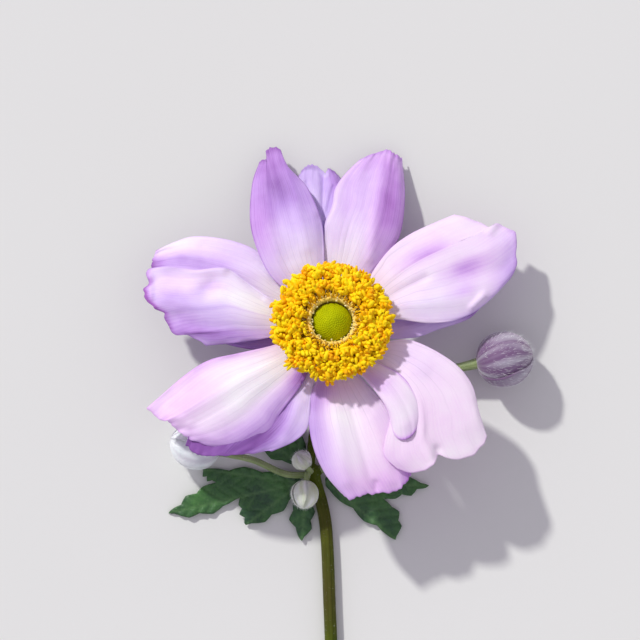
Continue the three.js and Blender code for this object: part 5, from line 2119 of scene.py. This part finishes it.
@dataclass(frozen=True)
class Studio:
    """The floor, the light and the camera, which looks straight down on the flower's face.

    The floor's sizes are in metres.
    """

    view_width: float = 118.4
    view_centre: Pair = (-2.22, 0.555)
    view_height: float = 12.0
    camera_distance: float = 1000.0
    sun_way: Place = (-0.64, 0.82, 0.8)
    sun_strength: float = 2.35
    sun_angle: float = math.radians(3.5)
    sun_colour: Place = (1.0, 0.985, 0.96)
    sky_strength: float = 0.55
    sky_colour: Colour = (0.91, 0.86, 1.0, 1.0)
    floor_half: float = 1.5
    floor_heights: Pair = (-0.004, -0.00005)
    floor_colours: tuple[Colour, Colour] = (colour(228, 230, 225), colour(233, 235, 230))

    def build(self, plan: Plan) -> None:
        """Sets up the floor, the light and the camera.

        Args:
            plan: The flower's plan.
        """
        scene = bpy.context.scene
        scene.view_settings.view_transform = "Standard"
        self._floor()
        scene.world = self._light()
        scene.camera = self._camera(plan)

    def _floor(self) -> None:
        """Lays a wide pale floor just under the part."""
        half = self.floor_half
        corners = [(x * half, y * half, z) for z in self.floor_heights for y in (-1, 1) for x in (-1, 1)]
        faces = [(0, 2, 3, 1), (4, 5, 7, 6), (0, 1, 5, 4), (2, 6, 7, 3), (0, 4, 6, 2), (1, 3, 7, 5)]
        shade = Shade(Finish("floor_paint", roughness=0.8, specular=0.2))
        spots = shade.noise(shade.node("ShaderNodeTexCoord").outputs["Object"], 6.0)
        shade.feed(shade.shader["Base Color"], shade.mix(spots, *self.floor_colours))
        skin = Skin()
        skin.add(np.array(corners), faces)
        floor = skin.piece("floor", [shade.material])
        for face in floor.data.polygons:
            face.use_smooth = False

    def _light(self) -> bpy.types.World:
        """Sets a soft key from the upper left, and an even sky.

        Returns:
            The world with the sky.
        """
        lamp = bpy.data.lights.new("key", "SUN")
        lamp.energy = self.sun_strength
        lamp.angle = self.sun_angle
        lamp.color = self.sun_colour
        key = bpy.data.objects.new("key", lamp)
        key.rotation_euler = Vector(self.sun_way).to_track_quat("Z", "Y").to_euler()
        bpy.context.collection.objects.link(key)
        world = bpy.data.worlds.new("sky")
        world.use_nodes = True
        backdrop = world.node_tree.nodes["Background"]
        backdrop.inputs["Color"].default_value = self.sky_colour
        backdrop.inputs["Strength"].default_value = self.sky_strength
        return world

    def _camera(self, plan: Plan) -> Piece:
        """Places the camera over the flower, as far as a long lens stands.

        Args:
            plan: The flower's plan.

        Returns:
            The camera.
        """
        lens = bpy.data.cameras.new("camera")
        lens.sensor_width = 36.0
        lens.lens = lens.sensor_width * self.camera_distance / self.view_width
        lens.clip_end = 10.0
        camera = bpy.data.objects.new("camera", lens)
        place = Vector((*self.view_centre, self.view_height + self.camera_distance)) * METRES
        camera.location = place + plan.origin()
        bpy.context.collection.objects.link(camera)
        return camera


class Spray:
    """The whole spray: it builds each sub-assembly, sets it in the frame and reports it."""

    def __init__(self) -> None:
        """Makes what the sub-assemblies share."""
        self.plan = Plan()
        self.axis = FlowerAxis()

    def keep(self, piece: Piece, slot: Slot, *nodes: str) -> None:
        """Sets a piece in the frame, in place of its solids.

        Args:
            piece: The piece, still on the plan.
            slot: Its material slot; not used.
            nodes: The solids that it stands for.
        """
        self.plan.settle(piece)
        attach(piece, "root")
        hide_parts(*nodes)
        LOG.info("%s: %d faces", piece.name, len(piece.data.polygons))

    def build_petals(self) -> None:
        """Builds the thirteen petals."""
        finish = PetalFinish("petal_skin", roughness=0.55, sheen=0.12, see_into=0.15, specular=0.3, relief=0.35)
        material = finish.material()
        whorl = PetalWhorl(self.axis)
        for petal in PETALS:
            self.keep(whorl.build(petal, material), Slot.PETAL, petal.name)

    def build_heart(self) -> None:
        """Builds the stamens and the carpel head."""
        filament = GrownFinish(
            "filament_skin", specular=0.2,
            low=colour(248, 236, 160), high=colour(255, 250, 206), layers=[("gilt", 1.0, colour(252, 208, 26))],
        )
        anther = AntherFinish("pollen", roughness=0.6, specular=0.2, relief=0.3)
        ring = StamenRing().build(self.axis, filament.material(), anther.material())
        self.keep(ring, Slot.STAMEN, "stamens")
        dome = GrownFinish(
            "carpel_skin", roughness=0.6, see_into=0.1, specular=0.06,
            low=colour(164, 172, 1), high=colour(192, 199, 2), cloud_scale=350.0,
        )
        self.keep(CarpelHead().build(self.axis, dome.material()), Slot.CARPEL, "carpel_head")

    def build_buds(self) -> None:
        """Builds the four buds."""
        silk = GrownFinish(
            "bud_silk", roughness=0.55, sheen=0.4, see_into=0.2, relief=0.12,
            low=colour(230, 240, 240), high=colour(248, 251, 253), layers=[("mauve", 1.0, colour(122, 90, 130))],
            lines=Lines(7.0), line_paleness=0.08,
        )
        green = replace(
            silk, name="young_bud_silk", see_into=0.3, relief=0.2, line_paleness=0.15,
            low=colour(240, 245, 234), high=colour(253, 254, 252), layers=[("mauve", 1.0, colour(190, 208, 140))],
        )
        down = GrownFinish("bud_down", sheen=0.3, low=colour(232, 236, 238), high=colour(250, 250, 252))
        old, young, hair = (finish.material() for finish in (silk, green, down))
        for bud in BUDS:
            small = bud.radius < SMALL_BUD
            _, axis, _, _ = bud.frame_of_axis()
            lean = tuple(float(part) for part in BUD_LEAN * axis / np.linalg.norm(axis))
            hairs = replace(YOUNG_DOWN if small else BUD_DOWN, lean=lean, seed=len(bud.name))
            piece = bud.build(Pelt(young if small else old, hair, hairs))
            slot = Slot.BUD_MAUVE if bud.mauve > 0.5 else Slot.BUD_PALE
            self.keep(piece, slot, bud.name.removesuffix("_closed"))

    def build_stems(self) -> None:
        """Builds the stem, the flower's stalk and the buds' stalks."""
        bark = GrownFinish(
            "stem_skin", roughness=0.55, specular=0.15, relief=0.5, lines=Lines(9.0),
            low=colour(60, 76, 4), high=colour(90, 106, 12), layers=[("purple", 1.0, colour(76, 66, 28))],
        ).material()
        pale = GrownFinish(
            "stalk_skin", see_into=0.1, low=colour(128, 150, 92), high=colour(170, 188, 130),
            lines=Lines(7.0), relief=0.4,
        ).material()
        down = GrownFinish("stem_down", sheen=0.3, low=colour(206, 214, 196), high=colour(236, 240, 230))
        hair = down.material()
        stems = Stems(self.axis)
        self.keep(stems.build_stem(Pelt(bark, hair, STEM_DOWN)), Slot.STEM, "stem")
        self.keep(stems.build_stalks(Pelt(pale, hair, STALK_DOWN)), Slot.STEM, "stem")

    def build_bracts(self) -> None:
        """Builds the four bracts."""
        leaf = GrownFinish(
            "bract_skin", roughness=0.45, see_into=0.1, sheen=0.1, relief=0.4, relief_depth=0.25,
            cloud_scale=180.0, grain_scale=2600.0, unevenness=0.3, cloud_blend=(2.4, 0.45), grain_blend=0.8,
            low=colour(38, 74, 50), high=colour(74, 126, 60),
            layers=[("rib", 0.55, colour(104, 146, 88)), ("under", 0.8, colour(110, 134, 100))],
        ).material()
        for bract in BRACTS:
            self.keep(bract.build(leaf), Slot.BRACT, bract.name)


def main() -> None:
    """Builds the spray and its studio."""
    logging.basicConfig(level=logging.INFO, format="%(name)s: %(message)s")
    spray = Spray()
    Studio().build(spray.plan)
    spray.build_petals()
    spray.build_heart()
    spray.build_buds()
    spray.build_stems()
    spray.build_bracts()


if __name__ == "__main__":
    main()
